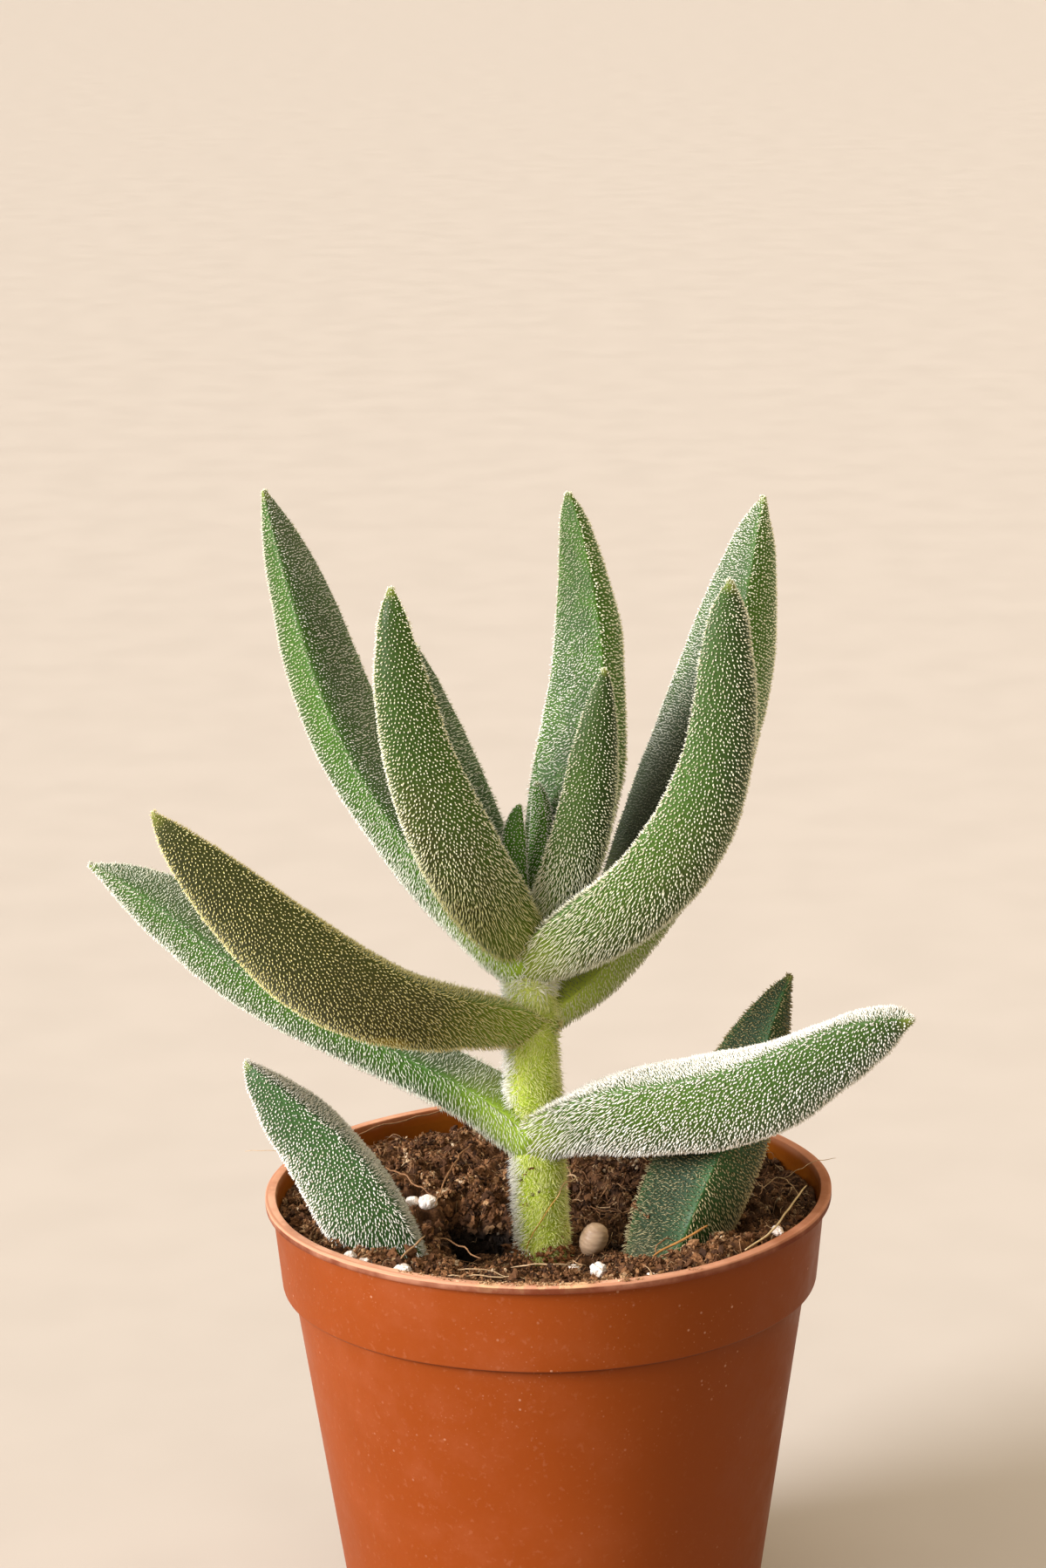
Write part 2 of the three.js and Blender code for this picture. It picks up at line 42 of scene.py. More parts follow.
# ---------------------------------------------------------------- tables
STATIONS = np.array([0, 0.08, 0.18, 0.3, 0.42, 0.54, 0.66, 0.77, 0.87, 0.95, 1.0])
LEAVES = {
    "leaf_soil_left": dict(
        foot=(-14.5, -10.5), heading=192, twist=0,
        out=(-2.4, -2.1, -1.2, 0.4, 2.3, 4.3, 6.5, 8.8, 10.9, 12.7, 13.8),
        up=(40.5, 43.2, 46.6, 50.4, 53.7, 56.6, 59.2, 61.3, 63.1, 64.5, 65.4),
        half=(3.6, 4.0, 4.5, 4.9, 5.0, 4.65, 4.15, 3.4, 2.35, 1.25, 0.2)),
    "leaf_soil_right": dict(
        foot=(10.9, -11.2), heading=25, twist=0,
        out=(-2.2, -1.8, -0.7, 1.2, 3.3, 5.4, 7.4, 9.2, 10.9, 12.5, 13.7),
        up=(40.5, 43.6, 47.3, 51.5, 55.3, 58.7, 61.9, 64.8, 67.4, 69.4, 70.6),
        half=(4.0, 4.5, 5.0, 5.3, 5.1, 4.7, 4.15, 3.35, 2.2, 1.1, 0.2)),
    "leaf_pair1_right": dict(
        foot=(-1.1, -4.5), heading=-36, twist=0,
        out=(-0.9, 1.8, 5.7, 10.8, 16.2, 21.6, 26.9, 31.6, 35.8, 39.5, 41.9),
        up=(55.6, 57.3, 59.5, 61.8, 63.6, 65.4, 67.6, 70.0, 72.1, 73.2, 73.3),
        half=(2.9, 3.15, 3.95, 4.94, 5.39, 5.4, 4.85, 4.05, 3.2, 1.85, 0.2)),
    "leaf_pair1_left": dict(
        foot=(-1.2, -4.5), heading=152, twist=0,
        out=(-0.9, 2.9, 9.0, 16.0, 22.3, 28.0, 33.5, 38.4, 43.4, 47.5, 50.2),
        up=(55.9, 58.3, 60.6, 62.9, 65.1, 67.6, 70.4, 73.1, 75.0, 75.9, 76.0),
        half=(2.9, 3.2, 3.2, 3.3, 3.55, 3.95, 4.09, 3.9, 2.95, 1.5, 0.2)),
    "leaf_pair2_left": dict(
        foot=(-1.4, -4.5), heading=214, twist=0,
        out=(-1.4, 1.4, 5.6, 11.2, 16.6, 21.6, 26.4, 30.6, 34.5, 37.7, 39.8),
        up=(66.2, 67.5, 69.2, 71.3, 74.2, 77.7, 81.6, 85.2, 88.6, 91.2, 92.8),
        half=(2.6, 2.8, 3.4, 4.32, 5.18, 5.32, 4.83, 4.05, 2.9, 1.6, 0.2)),
    "leaf_pair2_right": dict(
        foot=(-1.5, -4.5), heading=40, twist=-18,
        out=(-0.9, 3.5, 8.8, 13.6, 17.2, 20.1, 22.7, 25.0, 27.3, 29.2, 30.8),
        up=(66.0, 68.2, 72.3, 78.2, 84.4, 90.4, 96.4, 101.9, 106.9, 110.8, 113.0),
        half=(2.6, 2.8, 3.5, 4.8, 5.6, 5.7, 5.15, 4.3, 3.05, 1.64, 0.2)),
    "leaf_pair3_right": dict(
        foot=(-1.5, -4.5), heading=-33, twist=0,
        out=(-0.9, 2.3, 6.0, 10.3, 14.3, 17.4, 19.5, 20.5, 21.0, 21.6, 22.3),
        up=(72.9, 75.2, 78.1, 81.6, 85.6, 90.2, 95.4, 100.4, 105.1, 108.8, 110.9),
        half=(2.8, 3.3, 4.1, 4.4, 4.5, 4.1, 3.55, 3.05, 2.38, 1.5, 0.2)),
    "leaf_pair3_left": dict(
        foot=(-1.5, -4.5), heading=147, twist=0,
        out=(-0.7, 3.4, 8.2, 12.7, 16.4, 19.5, 22.1, 24.2, 26.3, 28.2, 29.5),
        up=(72.9, 75.7, 79.6, 84.3, 89.1, 94.3, 99.7, 104.8, 109.3, 112.8, 115.0),
        half=(2.8, 3.1, 3.5, 3.83, 3.98, 4.0, 3.68, 3.13, 2.34, 1.2, 0.2)),
    "leaf_pair4_front": dict(
        foot=(-1.5, -4.5), heading=222, twist=0,
        out=(-0.2, 1.9, 4.1, 6.6, 9.0, 11.1, 12.7, 13.9, 14.8, 15.4, 15.8),
        up=(75.4, 77.6, 80.8, 84.7, 88.8, 93.0, 97.4, 101.6, 105.4, 108.5, 110.4),
        half=(2.6, 3.4, 4.1, 4.28, 4.05, 3.68, 3.24, 2.71, 1.9, 1.1, 0.2)),
    "leaf_pair4_back": dict(
        foot=(-1.5, -4.5), heading=40, twist=0,
        out=(0.0, 1.8, 3.4, 4.8, 5.9, 6.7, 6.9, 6.7, 6.3, 5.9, 5.7),
        up=(76.0, 79.6, 84.0, 88.8, 93.4, 98.2, 102.9, 107.3, 111.2, 114.4, 116.4),
        half=(2.4, 3.3, 4.2, 4.5, 4.27, 3.8, 3.25, 2.5, 1.8, 1.05, 0.2)),
    "leaf_pair5_right": dict(
        foot=(-1.5, -4.5), heading=-33, twist=0,
        out=(1.0, 1.9, 3.1, 4.2, 5.1, 5.9, 6.6, 7.3, 7.9, 8.5, 8.9),
        up=(77.2, 78.9, 81.1, 83.8, 86.7, 89.7, 92.8, 95.6, 98.1, 100.1, 101.4),
        half=(1.6, 2.1, 2.7, 2.95, 2.97, 2.8, 2.5, 1.96, 1.39, 0.8, 0.15)),
    "leaf_pair5_left": dict(
        foot=(-1.5, -4.5), heading=147, twist=0,
        out=(0.6, 1.7, 3.2, 4.7, 6.1, 7.5, 8.8, 10.0, 10.9, 11.7, 12.1),
        up=(78.0, 79.8, 82.3, 85.2, 88.0, 90.7, 93.5, 96.0, 98.4, 100.2, 101.4),
        half=(1.4, 1.7, 2.2, 2.6, 2.77, 2.76, 2.5, 1.98, 1.38, 0.7, 0.15)),
    "leaf_tip_front": dict(
        foot=(-1.5, -4.5), heading=222, twist=0,
        out=(0.4, 0.6, 0.8, 1.0, 1.1, 1.15, 1.15, 1.1, 1.0, 0.85, 0.7),
        up=(78.8, 79.6, 80.6, 81.7, 82.8, 83.8, 84.8, 85.7, 86.5, 87.1, 87.5),
        half=(0.6, 0.75, 0.9, 1.05, 1.15, 1.2, 1.15, 0.95, 0.7, 0.42, 0.1)),
    "leaf_tip_back": dict(
        foot=(-1.5, -4.5), heading=40, twist=0,
        out=(0.5, 0.7, 0.95, 1.2, 1.4, 1.5, 1.55, 1.5, 1.45, 1.4, 1.4),
        up=(78.9, 79.9, 81.1, 82.4, 83.7, 84.9, 86.1, 87.1, 88.0, 88.8, 89.3),
        half=(0.6, 0.75, 0.95, 1.1, 1.15, 1.15, 1.05, 0.9, 0.7, 0.42, 0.1)),
}
INNER_BULGE = 0.16
OUTER_DEPTH = 1.35

STEM_Y = -4.5
STEM = np.array([
    (-0.5, 36.5, 2.35), (-0.55, 41.7, 2.45), (-0.65, 46.0, 2.42), (-0.85, 52.2, 2.4), (-1.05, 56.6, 2.45),
    (-1.3, 61.8, 2.33), (-1.42, 66.5, 2.3), (-1.5, 70.0, 2.2), (-1.5, 73.5, 2.1), (-1.5, 76.0, 1.75), (-1.5, 77.3, 1.2),
])
STEM_NODES = (56.6, 66.6, 73.4)

PERLITE = {
    "perlite_01": (-13.1, 4.4, 45.1, 1.3, 0.8, 0.75, 0.2),
    "perlite_02": (-11.2, 4.0, 45.0, 0.8, 0.75, 0.8, 1.1),
    "perlite_03": (-13.7, -21.2, 47.3, 0.85, 0.75, 0.7, 0.5),
    "perlite_04": (-18.6, -16.6, 47.1, 0.6, 0.5, 0.5, 0.9),
    "perlite_05": (-17.1, -18.3, 47.1, 0.6, 0.65, 0.5, 2.1),
    "perlite_06": (2.2, -18.6, 46.2, 0.55, 0.5, 0.45, 0.3),
    "perlite_07": (4.5, -19.6, 46.5, 0.95, 0.7, 0.6, 1.4),
    "perlite_08": (9.2, 1.2, 44.6, 0.5, 0.5, 0.5, 0.0),
    "perlite_09": (9.3, -22.9, 47.1, 0.42, 0.4, 0.4, 0.8),
    "perlite_10": (21.6, -11.7, 47.2, 0.6, 0.5, 0.45, 1.9),
}
PEBBLE = dict(at=(4.3, -5.4, 44.3), half=(1.4, 1.35, 1.72), lean=0.28)
THREADS = {
    "fibre_pale": (0.1, [(25.1, -0.4, 47.6), (23.0, -7.2, 47.8), (20.5, -15.1, 48.1), (18.2, -19.0, 48.1)]),
    "fibre_brown": (0.12, [(14.8, -17.6, 50.0), (13.2, -18.4, 49.4), (11.4, -18.9, 48.6), (9.7, -19.6, 47.9)]),
    "fibre_stalk": (0.1, [(-11.5, -15.4, 48.6), (-12.3, -17.2, 48.5), (-13.4, -19.0, 48.2), (-13.8, -19.8, 48.0)]),
}

SEATS = [g[:6] for g in PERLITE.values()] + [(*PEBBLE["at"], *PEBBLE["half"])]

POT_HEIGHT, LIP_R, LIP_INNER_R, LIP_THICK = 48.0, 27.5, 26.6, 0.8
COLLAR_TOP_R, COLLAR_BOTTOM_R, COLLAR_HEIGHT = 26.85, 26.05, 9.0
BODY_TOP_R, BODY_BASE_R, WALL, FLOOR = 25.0, 19.4, 0.6, 1.0
STEP_Z = POT_HEIGHT - COLLAR_HEIGHT
HOLLOW_Z, SOIL_RISE = 42.3, 4.1


# ---------------------------------------------------------------- numbers
def lattice(ix, iy, iz, seed):
    h = (ix * 374761393 + iy * 668265263 + iz * 2246822519 + seed * 3266489917) & 0xFFFFFFFF
    h = ((h ^ (h >> 13)) * 1274126177) & 0xFFFFFFFF
    h ^= h >> 16
    return h.astype(np.float64) / 2147483647.5 - 1.0


def vnoise(p, freq, seed=0):
    """Smooth value noise from -1 to 1 at points p (n, 3)."""
    q = np.asarray(p, float) * freq + 1000.0
    i = np.floor(q).astype(np.int64)
    f = q - i
    f = f * f * f * (f * (f * 6 - 15) + 10)
    out = 0.0
    for dx in (0, 1):
        wx = f[:, 0] if dx else 1 - f[:, 0]
        for dy in (0, 1):
            wy = f[:, 1] if dy else 1 - f[:, 1]
            for dz in (0, 1):
                wz = f[:, 2] if dz else 1 - f[:, 2]
                out = out + wx * wy * wz * lattice(i[:, 0] + dx, i[:, 1] + dy, i[:, 2] + dz, seed)
    return out


def fbm(p, freq, octaves, seed=0, gain=0.5):
    out, amp = 0.0, 1.0
    for k in range(octaves):
        out = out + amp * vnoise(p, freq * 2.03**k, seed + 17 * k)
        amp *= gain
    return out


def smooth(a, b, x):
    t = np.clip((x - a) / (b - a), 0, 1)
    return t * t * (3 - 2 * t)


def unit(v):
    return v / np.maximum(np.linalg.norm(v, axis=-1, keepdims=True), 1e-12)


def through(xs, ys, x):
    """A smooth curve through the values ys at the stations xs."""
    xs, ys, x = np.asarray(xs, float), np.asarray(ys, float), np.asarray(x, float)
    n = len(xs)
    h = np.diff(xs)
    d = np.diff(ys) / h
    m = np.empty(n)
    m[0], m[-1] = d[0], d[-1]
    m[1:-1] = (d[1:] * h[:-1] + d[:-1] * h[1:]) / (h[:-1] + h[1:])
    i = np.clip(np.searchsorted(xs, x, side="left") - 1, 0, n - 2)
    hi = h[i]
    t = (x - xs[i]) / hi
    t2, t3 = t * t, t * t * t
    return (2 * t3 - 3 * t2 + 1) * ys[i] + (t3 - 2 * t2 + t) * hi * m[i] + (-2 * t3 + 3 * t2) * ys[i + 1] + (t3 - t2) * hi * m[i + 1]


# ---------------------------------------------------------------- meshes
def new_mesh(name, verts, quads=None, tris=None, uv_quads=None, uv_tris=None, material=None, flat=False):
    """One mesh object from arrays: verts in mm, faces as index rows, and their UVs, one pair per corner."""
    verts = np.asarray(verts, float) * MM
    quads = np.zeros((0, 4), int) if quads is None else np.asarray(quads, int)
    tris = np.zeros((0, 3), int) if tris is None else np.asarray(tris, int)
    me = bpy.data.meshes.new(name)
    me.vertices.add(len(verts))
    me.vertices.foreach_set("co", verts.astype(np.float32).ravel())
    loops = np.concatenate([quads.ravel(), tris.ravel()]).astype(np.int32)
    me.loops.add(len(loops))
    me.loops.foreach_set("vertex_index", loops)
    me.polygons.add(len(quads) + len(tris))
    starts = np.concatenate([np.arange(len(quads)) * 4, len(quads) * 4 + np.arange(len(tris)) * 3]).astype(np.int32)
    me.polygons.foreach_set("loop_start", starts)
    me.update(calc_edges=True)
    me.validate()
    if uv_quads is not None or uv_tris is not None:
        uv = np.concatenate([
            np.zeros((0, 2)) if uv_quads is None else np.asarray(uv_quads, float).reshape(-1, 2),
            np.zeros((0, 2)) if uv_tris is None else np.asarray(uv_tris, float).reshape(-1, 2),
        ])
        layer = me.uv_layers.new(name="OFBake")
        layer.data.foreach_set("uv", uv.astype(np.float32).ravel())
    me.polygons.foreach_set("use_smooth", np.full(len(me.polygons), not flat))
    if material is not None:
        me.materials.append(material)
    ob = bpy.data.objects.new(name, me)
    bpy.context.scene.collection.objects.link(ob)
    return ob


def piece(ob, nodes):
    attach(ob, "root")
    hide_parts(*([nodes] if isinstance(nodes, str) else nodes))
    return ob


def tube_arrays(points, radii, sides=6, v0=0.0, u0=0.0, u1=1.0):
    """A closed tube along points (n, 3): vertices, quads, tris and their UVs."""
    points = np.asarray(points, float)
    n = len(points)
    tan = unit(np.gradient(points, axis=0))
    ref = np.array([0.0, 0.0, 1.0]) if abs(tan[0][2]) < 0.9 else np.array([1.0, 0.0, 0.0])
    e1 = unit(np.cross(tan[0], ref))
    rows = []
    for k in range(n):
        e1 = unit(e1 - tan[k] * (e1 @ tan[k]))
        e2 = np.cross(tan[k], e1)
        th = np.arange(sides) / sides * 2 * math.pi
        rows.append(points[k] + radii[k] * (np.cos(th)[:, None] * e1 + np.sin(th)[:, None] * e2))
    verts = np.concatenate(rows + [points[:1], points[-1:]])
    k, j = np.meshgrid(np.arange(n - 1), np.arange(sides), indexing="ij")
    k, j = k.ravel(), j.ravel()
    j1 = (j + 1) % sides
    quads = np.stack([k * sides + j, k * sides + j1, (k + 1) * sides + j1, (k + 1) * sides + j], 1)
    ua, ub = u0 + (u1 - u0) * j / sides, u0 + (u1 - u0) * (j + 1) / sides
    va, vb = k / (n - 1), (k + 1) / (n - 1)
    uvq = np.stack([np.stack([ua, va], 1), np.stack([ub, va], 1), np.stack([ub, vb], 1), np.stack([ua, vb], 1)], 1)
    j = np.arange(sides)
    j1 = (j + 1) % sides
    first, last = n * sides, n * sides + 1
    tris = np.concatenate([
        np.stack([np.full(sides, first), j1, j], 1),
        np.stack([np.full(sides, last), (n - 1) * sides + j, (n - 1) * sides + j1], 1),
    ])
    ua, ub = u0 + (u1 - u0) * j / sides, u0 + (u1 - u0) * (j + 1) / sides
    um = (ua + ub) / 2
    z, o = np.zeros(sides), np.ones(sides)
    uvt = np.concatenate([
        np.stack([np.stack([um, z], 1), np.stack([ub, z], 1), np.stack([ua, z], 1)], 1),
        np.stack([np.stack([um, o], 1), np.stack([ua, o], 1), np.stack([ub, o], 1)], 1),
    ])
    return verts, quads, tris, uvq, uvt


class Bag:
    """Gathers many small closed bodies into one mesh."""

    def __init__(self):
        self.v, self.q, self.t, self.uq, self.ut, self.n = [], [], [], [], [], 0

    def add(self, verts, quads=None, tris=None, uvq=None, uvt=None):
        self.v.append(verts)
        if quads is not None and len(quads):
            self.q.append(quads + self.n)
            self.uq.append(uvq)
        if tris is not None and len(tris):
            self.t.append(tris + self.n)
            self.ut.append(uvt)
        self.n += len(verts)

    def mesh(self, name, material, flat=False):
        cat = lambda rows: np.concatenate(rows) if rows else None
        return new_mesh(name, np.concatenate(self.v), cat(self.q), cat(self.t), cat(self.uq), cat(self.ut), material, flat)


def icosphere(level):
    t = (1 + 5**0.5) / 2
    v = [(-1, t, 0), (1, t, 0), (-1, -t, 0), (1, -t, 0), (0, -1, t), (0, 1, t), (0, -1, -t), (0, 1, -t), (t, 0, -1), (t, 0, 1), (-t, 0, -1), (-t, 0, 1)]
    f = [(0, 11, 5), (0, 5, 1), (0, 1, 7), (0, 7, 10), (0, 10, 11), (1, 5, 9), (5, 11, 4), (11, 10, 2), (10, 7, 6), (7, 1, 8),
         (3, 9, 4), (3, 4, 2), (3, 2, 6), (3, 6, 8), (3, 8, 9), (4, 9, 5), (2, 4, 11), (6, 2, 10), (8, 6, 7), (9, 8, 1)]
    v = [np.array(p, float) / np.linalg.norm(p) for p in v]
    for _ in range(level):
        seen, out = {}, []

        def mid(a, b):
            key = (min(a, b), max(a, b))
            if key not in seen:
                p = v[a] + v[b]
                v.append(p / np.linalg.norm(p))
                seen[key] = len(v) - 1
            return seen[key]

        for a, b, c in f:
            x, y, z = mid(a, b), mid(b, c), mid(c, a)
            out += [(a, x, z), (b, y, x), (c, z, y), (x, y, z)]
        f = out
    return np.array(v), np.array(f)


# ---------------------------------------------------------------- materials
class Mat:
    """A short way to write a node material."""

    def __init__(self, name):
        self.m = bpy.data.materials.new(name)
        self.m.use_nodes = True
        self.t = self.m.node_tree
        self.bsdf = self.t.nodes["Principled BSDF"]

    def node(self, kind, **props):
        n = self.t.nodes.new(kind)
        for k, v in props.items():
            setattr(n, k, v)
        return n

    def put(self, sock, value):
        if hasattr(value, "is_output"):
            self.t.links.new(value, sock)
        elif isinstance(value, (tuple, list)) and len(value) == 3 and sock.type == "RGBA":
            sock.default_value = (*value, 1.0)
        else:
            sock.default_value = value

    def coords(self, kind="Object"):
        return self.node("ShaderNodeTexCoord").outputs[kind]

    def uv(self):
        n = self.node("ShaderNodeUVMap", uv_map="OFBake")
        s = self.node("ShaderNodeSeparateXYZ")
        self.put(s.inputs[0], n.outputs[0])
        return s.outputs[0], s.outputs[1]

    def math(self, op, a, b=0.0, c=0.0, clamp=False):
        n = self.node("ShaderNodeMath", operation=op, use_clamp=clamp)
        for i, x in enumerate((a, b, c)):
            self.put(n.inputs[i], x)
        return n.outputs[0]

    def noise(self, scale, detail=4.0, rough=0.55, vector=None, distortion=0.0):
        n = self.node("ShaderNodeTexNoise")
        self.put(n.inputs["Vector"], vector if vector is not None else self.coords())
        n.inputs["Scale"].default_value = scale
        n.inputs["Detail"].default_value = detail
        n.inputs["Roughness"].default_value = rough
        n.inputs["Distortion"].default_value = distortion
        return n.outputs["Fac"]

    def voronoi(self, scale, vector=None, feature="F1", out="Distance", randomness=1.0):
        n = self.node("ShaderNodeTexVoronoi", feature=feature)
        self.put(n.inputs["Vector"], vector if vector is not None else self.coords())
        n.inputs["Scale"].default_value = scale
        n.inputs["Randomness"].default_value = randomness
        return n.outputs[out]

    def remap(self, x, a, b, c=0.0, d=1.0, interpolation="SMOOTHSTEP"):
        n = self.node("ShaderNodeMapRange", interpolation_type=interpolation)
        for i, v in enumerate((x, a, b, c, d)):
            self.put(n.inputs[i], v)
        return n.outputs[0]

    def ramp(self, x, stops, interpolation="LINEAR"):
        n = self.node("ShaderNodeValToRGB")
        self.put(n.inputs[0], x)
        r = n.color_ramp
        r.interpolation = interpolation
        while len(r.elements) < len(stops):
            r.elements.new(0.5)
        for e, (pos, col) in zip(r.elements, stops):
            e.position = pos
            e.color = (*col, 1.0)
        return n.outputs[0]

    def mix(self, fac, a, b, blend="MIX"):
        n = self.node("ShaderNodeMix", data_type="RGBA", blend_type=blend)
        self.put(n.inputs[0], fac)
        self.put(n.inputs[6], a)
        self.put(n.inputs[7], b)
        return n.outputs[2]

    def bump(self, height, strength, distance, normal=None):
        n = self.node("ShaderNodeBump")
        n.inputs["Strength"].default_value = strength
        n.inputs["Distance"].default_value = distance
        self.put(n.inputs["Height"], height)
        if normal is not None:
            self.put(n.inputs["Normal"], normal)
        return n.outputs[0]

    def set(self, **values):
        for k, v in values.items():
            self.put(self.bsdf.inputs[k.replace("_", " ")], v)
        return self.m


def srgb(r, g, b):
    f = lambda c: ((c / 255 + 0.055) / 1.055) ** 2.4 if c > 10.3 else c / 255 / 12.92
    return (f(r), f(g), f(b))


def leaf_material(name, outer, inner, base, tip, edge, edge_amount=0.8, spot=None, lower=None, shade=None, base_to=0.2):
    """Leaf flesh. The piece's map runs round the leaf in u (inner face 0 to 0.5) and up the leaf in v."""
    m = Mat(name)
    u, v = m.uv()
    ang = m.math("MULTIPLY", u, 2 * math.pi)
    side = m.math("COSINE", ang)
    face = m.math("SINE", ang)
    mottle = m.noise(420.0, 4, 0.6)
    broad = m.noise(90.0, 3, 0.5)
    col = outer if lower is None else m.mix(m.remap(m.math("ADD", v, m.math("MULTIPLY", broad, 0.3)), 0.5, 0.85), lower, outer)
    col = m.mix(m.remap(face, -0.25, 0.35), col, inner)
    col = m.mix(m.remap(broad, 0.35, 0.7, 0.0, 0.45), col, tuple(c * 0.62 for c in outer))
    col = m.mix(m.remap(mottle, 0.4, 0.75, 0.0, 0.35), col, tuple(min(1, c * 1.5) for c in outer))
    ridge = m.math("POWER", m.math("ABSOLUTE", side), 3.4)
    ridge = m.math("MULTIPLY", ridge, m.remap(broad, 0.3, 0.62, 0.4, 1.0))
    col = m.mix(m.math("MULTIPLY", ridge, edge_amount), col, edge)
    col = m.mix(m.remap(v, 0.55, 0.92, 0.0, 0.28), col, tuple(c * 0.45 for c in outer))
    if shade:
        # painted shadow: a deeper tone low on the inner face, where other leaves shade it
        (colour, from_v, to_v, amount) = shade
        low = m.math("MULTIPLY", m.remap(face, -0.3, 0.2), m.remap(v, to_v, from_v, 0.0, amount))
        col = m.mix(low, col, colour)
    col = m.mix(m.remap(v, base_to, 0.0, 0.0, 0.9), col, base)
    col = m.mix(m.remap(v, 0.97, 1.0, 0.0, 0.5), col, tip)
    if spot:
        (cu, cv, ru, rv, colour) = spot
        du = m.math("DIVIDE", m.math("SUBTRACT", u, cu), ru)
        dv = m.math("DIVIDE", m.math("SUBTRACT", v, cv), rv)
        d = m.math("ADD", m.math("MULTIPLY", du, du), m.math("MULTIPLY", dv, dv))
        d = m.math("ADD", d, m.math("MULTIPLY", m.math("SUBTRACT", mottle, 0.5), 1.2))
        col = m.mix(m.remap(d, 1.0, 0.1, 0.0, 0.75), col, colour)
    fine = m.noise(2600.0, 2, 0.5)
    m.bsdf.subsurface_method = "RANDOM_WALK"
    return m.set(
        Base_Color=col,
        Roughness=m.remap(mottle, 0.3, 0.7, 0.5, 0.68, "LINEAR"),
        Specular_IOR_Level=0.35,
        Subsurface_Weight=0.13,
        Subsurface_Radius=(0.8, 1.0, 0.45),
        Subsurface_Scale=0.0011,
        Sheen_Weight=0.16,
        Sheen_Roughness=0.4,
        Sheen_Tint=(0.9, 1.0, 0.84),
        Normal=m.bump(fine, 0.35, 0.00006),
    )


def hair_material(name, root, mid, tip, weight=0.0, painted_shade=None):
    """Leaf hairs. In the piece's map u is a number per hair and v runs from root to tip."""
    m = Mat(name)
    u, v = m.uv()
    col = m.ramp(v, [(0.0, root), (0.36, mid), (0.8, tip)])
    if painted_shade:
        # painted shade: the hair colour darkened over a band of heights, where other leaves shade the hairs
        (low, high, tone) = painted_shade
        place = m.node("ShaderNodeSeparateXYZ")
        m.put(place.inputs[0], m.coords())
        col = m.mix(m.remap(place.outputs[2], high, low), col, m.mix(1.0, col, tone, "MULTIPLY"))
    tint = m.ramp(u, [(0.0, (0.86, 0.86, 0.8)), (0.5, (1.0, 1.0, 0.98)), (1.0, (0.95, 0.9, 0.82))])
    col = m.mix(1.0, col, tint, "MULTIPLY")
    return m.set(
        Base_Color=col,
        Roughness=m.remap(u, 0.0, 1.0, 0.42, 0.6, "LINEAR"),
        Specular_IOR_Level=0.4,
        Subsurface_Weight=weight,
        Subsurface_Radius=(1.0, 0.95, 0.7),
        Subsurface_Scale=0.0003,
    )


# ---------------------------------------------------------------- leaf shape
def leaf_axis(leaf, s):
    az = math.radians(leaf["heading"])
    out, up = through(STATIONS, leaf["out"], s), through(STATIONS, leaf["up"], s)
    return np.stack([leaf["foot"][0] + math.cos(az) * out, leaf["foot"][1] + math.sin(az) * out, up], -1)


# how much wider the foot of a leaf is where it clasps the stem
FLARE = {"leaf_soil_left": 0.0, "leaf_soil_right": 0.0, "leaf_pair1_right": 0.02, "leaf_pair1_left": 0.1, "leaf_pair2_left": -0.14,
         "leaf_pair2_right": -0.3, "leaf_pair3_right": -0.04}
for _name, _leaf in LEAVES.items():
    _leaf["flare"] = FLARE.get(_name, 0.1)
TIP_R = 0.34


def leaf_frame(leaf, s):
    """Middle, direction, side and inner-face vectors and half width at stations s."""
    az = math.radians(leaf["heading"])
    w = np.array([-math.sin(az), math.cos(az), 0.0])
    t = unit(leaf_axis(leaf, np.minimum(1, s + 0.01)) - leaf_axis(leaf, np.maximum(0, s - 0.01)))
    m = np.cross(t, w)
    roll = np.radians(leaf["twist"]) * s
    cr, sr = np.cos(roll)[..., None], np.sin(roll)[..., None]
    side, face = w * cr + m * sr, -w * sr + m * cr
    half = np.maximum(0.05, through(STATIONS, leaf["half"], s)) * (1 + leaf["flare"] * smooth(0.15, 0.0, s))
    # the very tip is a small round dome
    dome = TIP_R / leaf_length(leaf)
    half = np.maximum(half * smooth(1.0, 1 - 0.5 * dome, s) ** 0.5, TIP_R * np.sqrt(np.clip(1 - np.clip((s - 1 + dome) / dome, 0, 1) ** 2, 0.0009, 1)) * smooth(0.9, 0.95, s))
    return leaf_axis(leaf, s), t, side, face, half


def section(th):
    """The leaf's cross-section for a half width of 1."""
    sn = np.sin(th)
    return np.cos(th), np.where(sn >= 0, INNER_BULGE * np.abs(sn) ** 0.9, -OUTER_DEPTH * np.abs(sn) ** 1.1)


def leaf_point(leaf, s, th, seed):
    """Points on the leaf's skin. s under 0 runs round the rounded butt of the leaf, inside the stem."""
    ss = np.clip(s, 0, 1)
    c, t, side, face, a = leaf_frame(leaf, ss)
    butt = np.clip(-s / 0.05, 0, 1)  # 0 on the leaf, 1 at the middle of the butt
    c = c - t * (a * 0.55 * np.sin(butt * math.pi / 2))[..., None]
    a = a * np.maximum(0.02, np.cos(butt * math.pi / 2))
    x, y = section(th)
    p = c + side * (a * x)[..., None] + face * (a * y)[..., None]
    flat = p.reshape(-1, 3)
    wave = (vnoise(flat, 1 / 7.5, seed) * 0.055 + vnoise(flat, 1 / 3.1, seed + 5) * 0.016).reshape(a.shape)
    return p + (side * x[..., None] + face * np.sign(y)[..., None] * np.abs(np.sin(th))[..., None]) * (a * wave)[..., None]


def leaf_normal(leaf, s, th, seed):
    e = 1e-3
    s = np.maximum(s, -0.046)
    ps = leaf_point(leaf, np.minimum(s + e, 1.0), th, seed) - leaf_point(leaf, np.minimum(s + e, 1.0) - 2 * e, th, seed)
    pt = leaf_point(leaf, s, th + 0.02, seed) - leaf_point(leaf, s, th - 0.02, seed)
    return unit(np.cross(pt, ps))


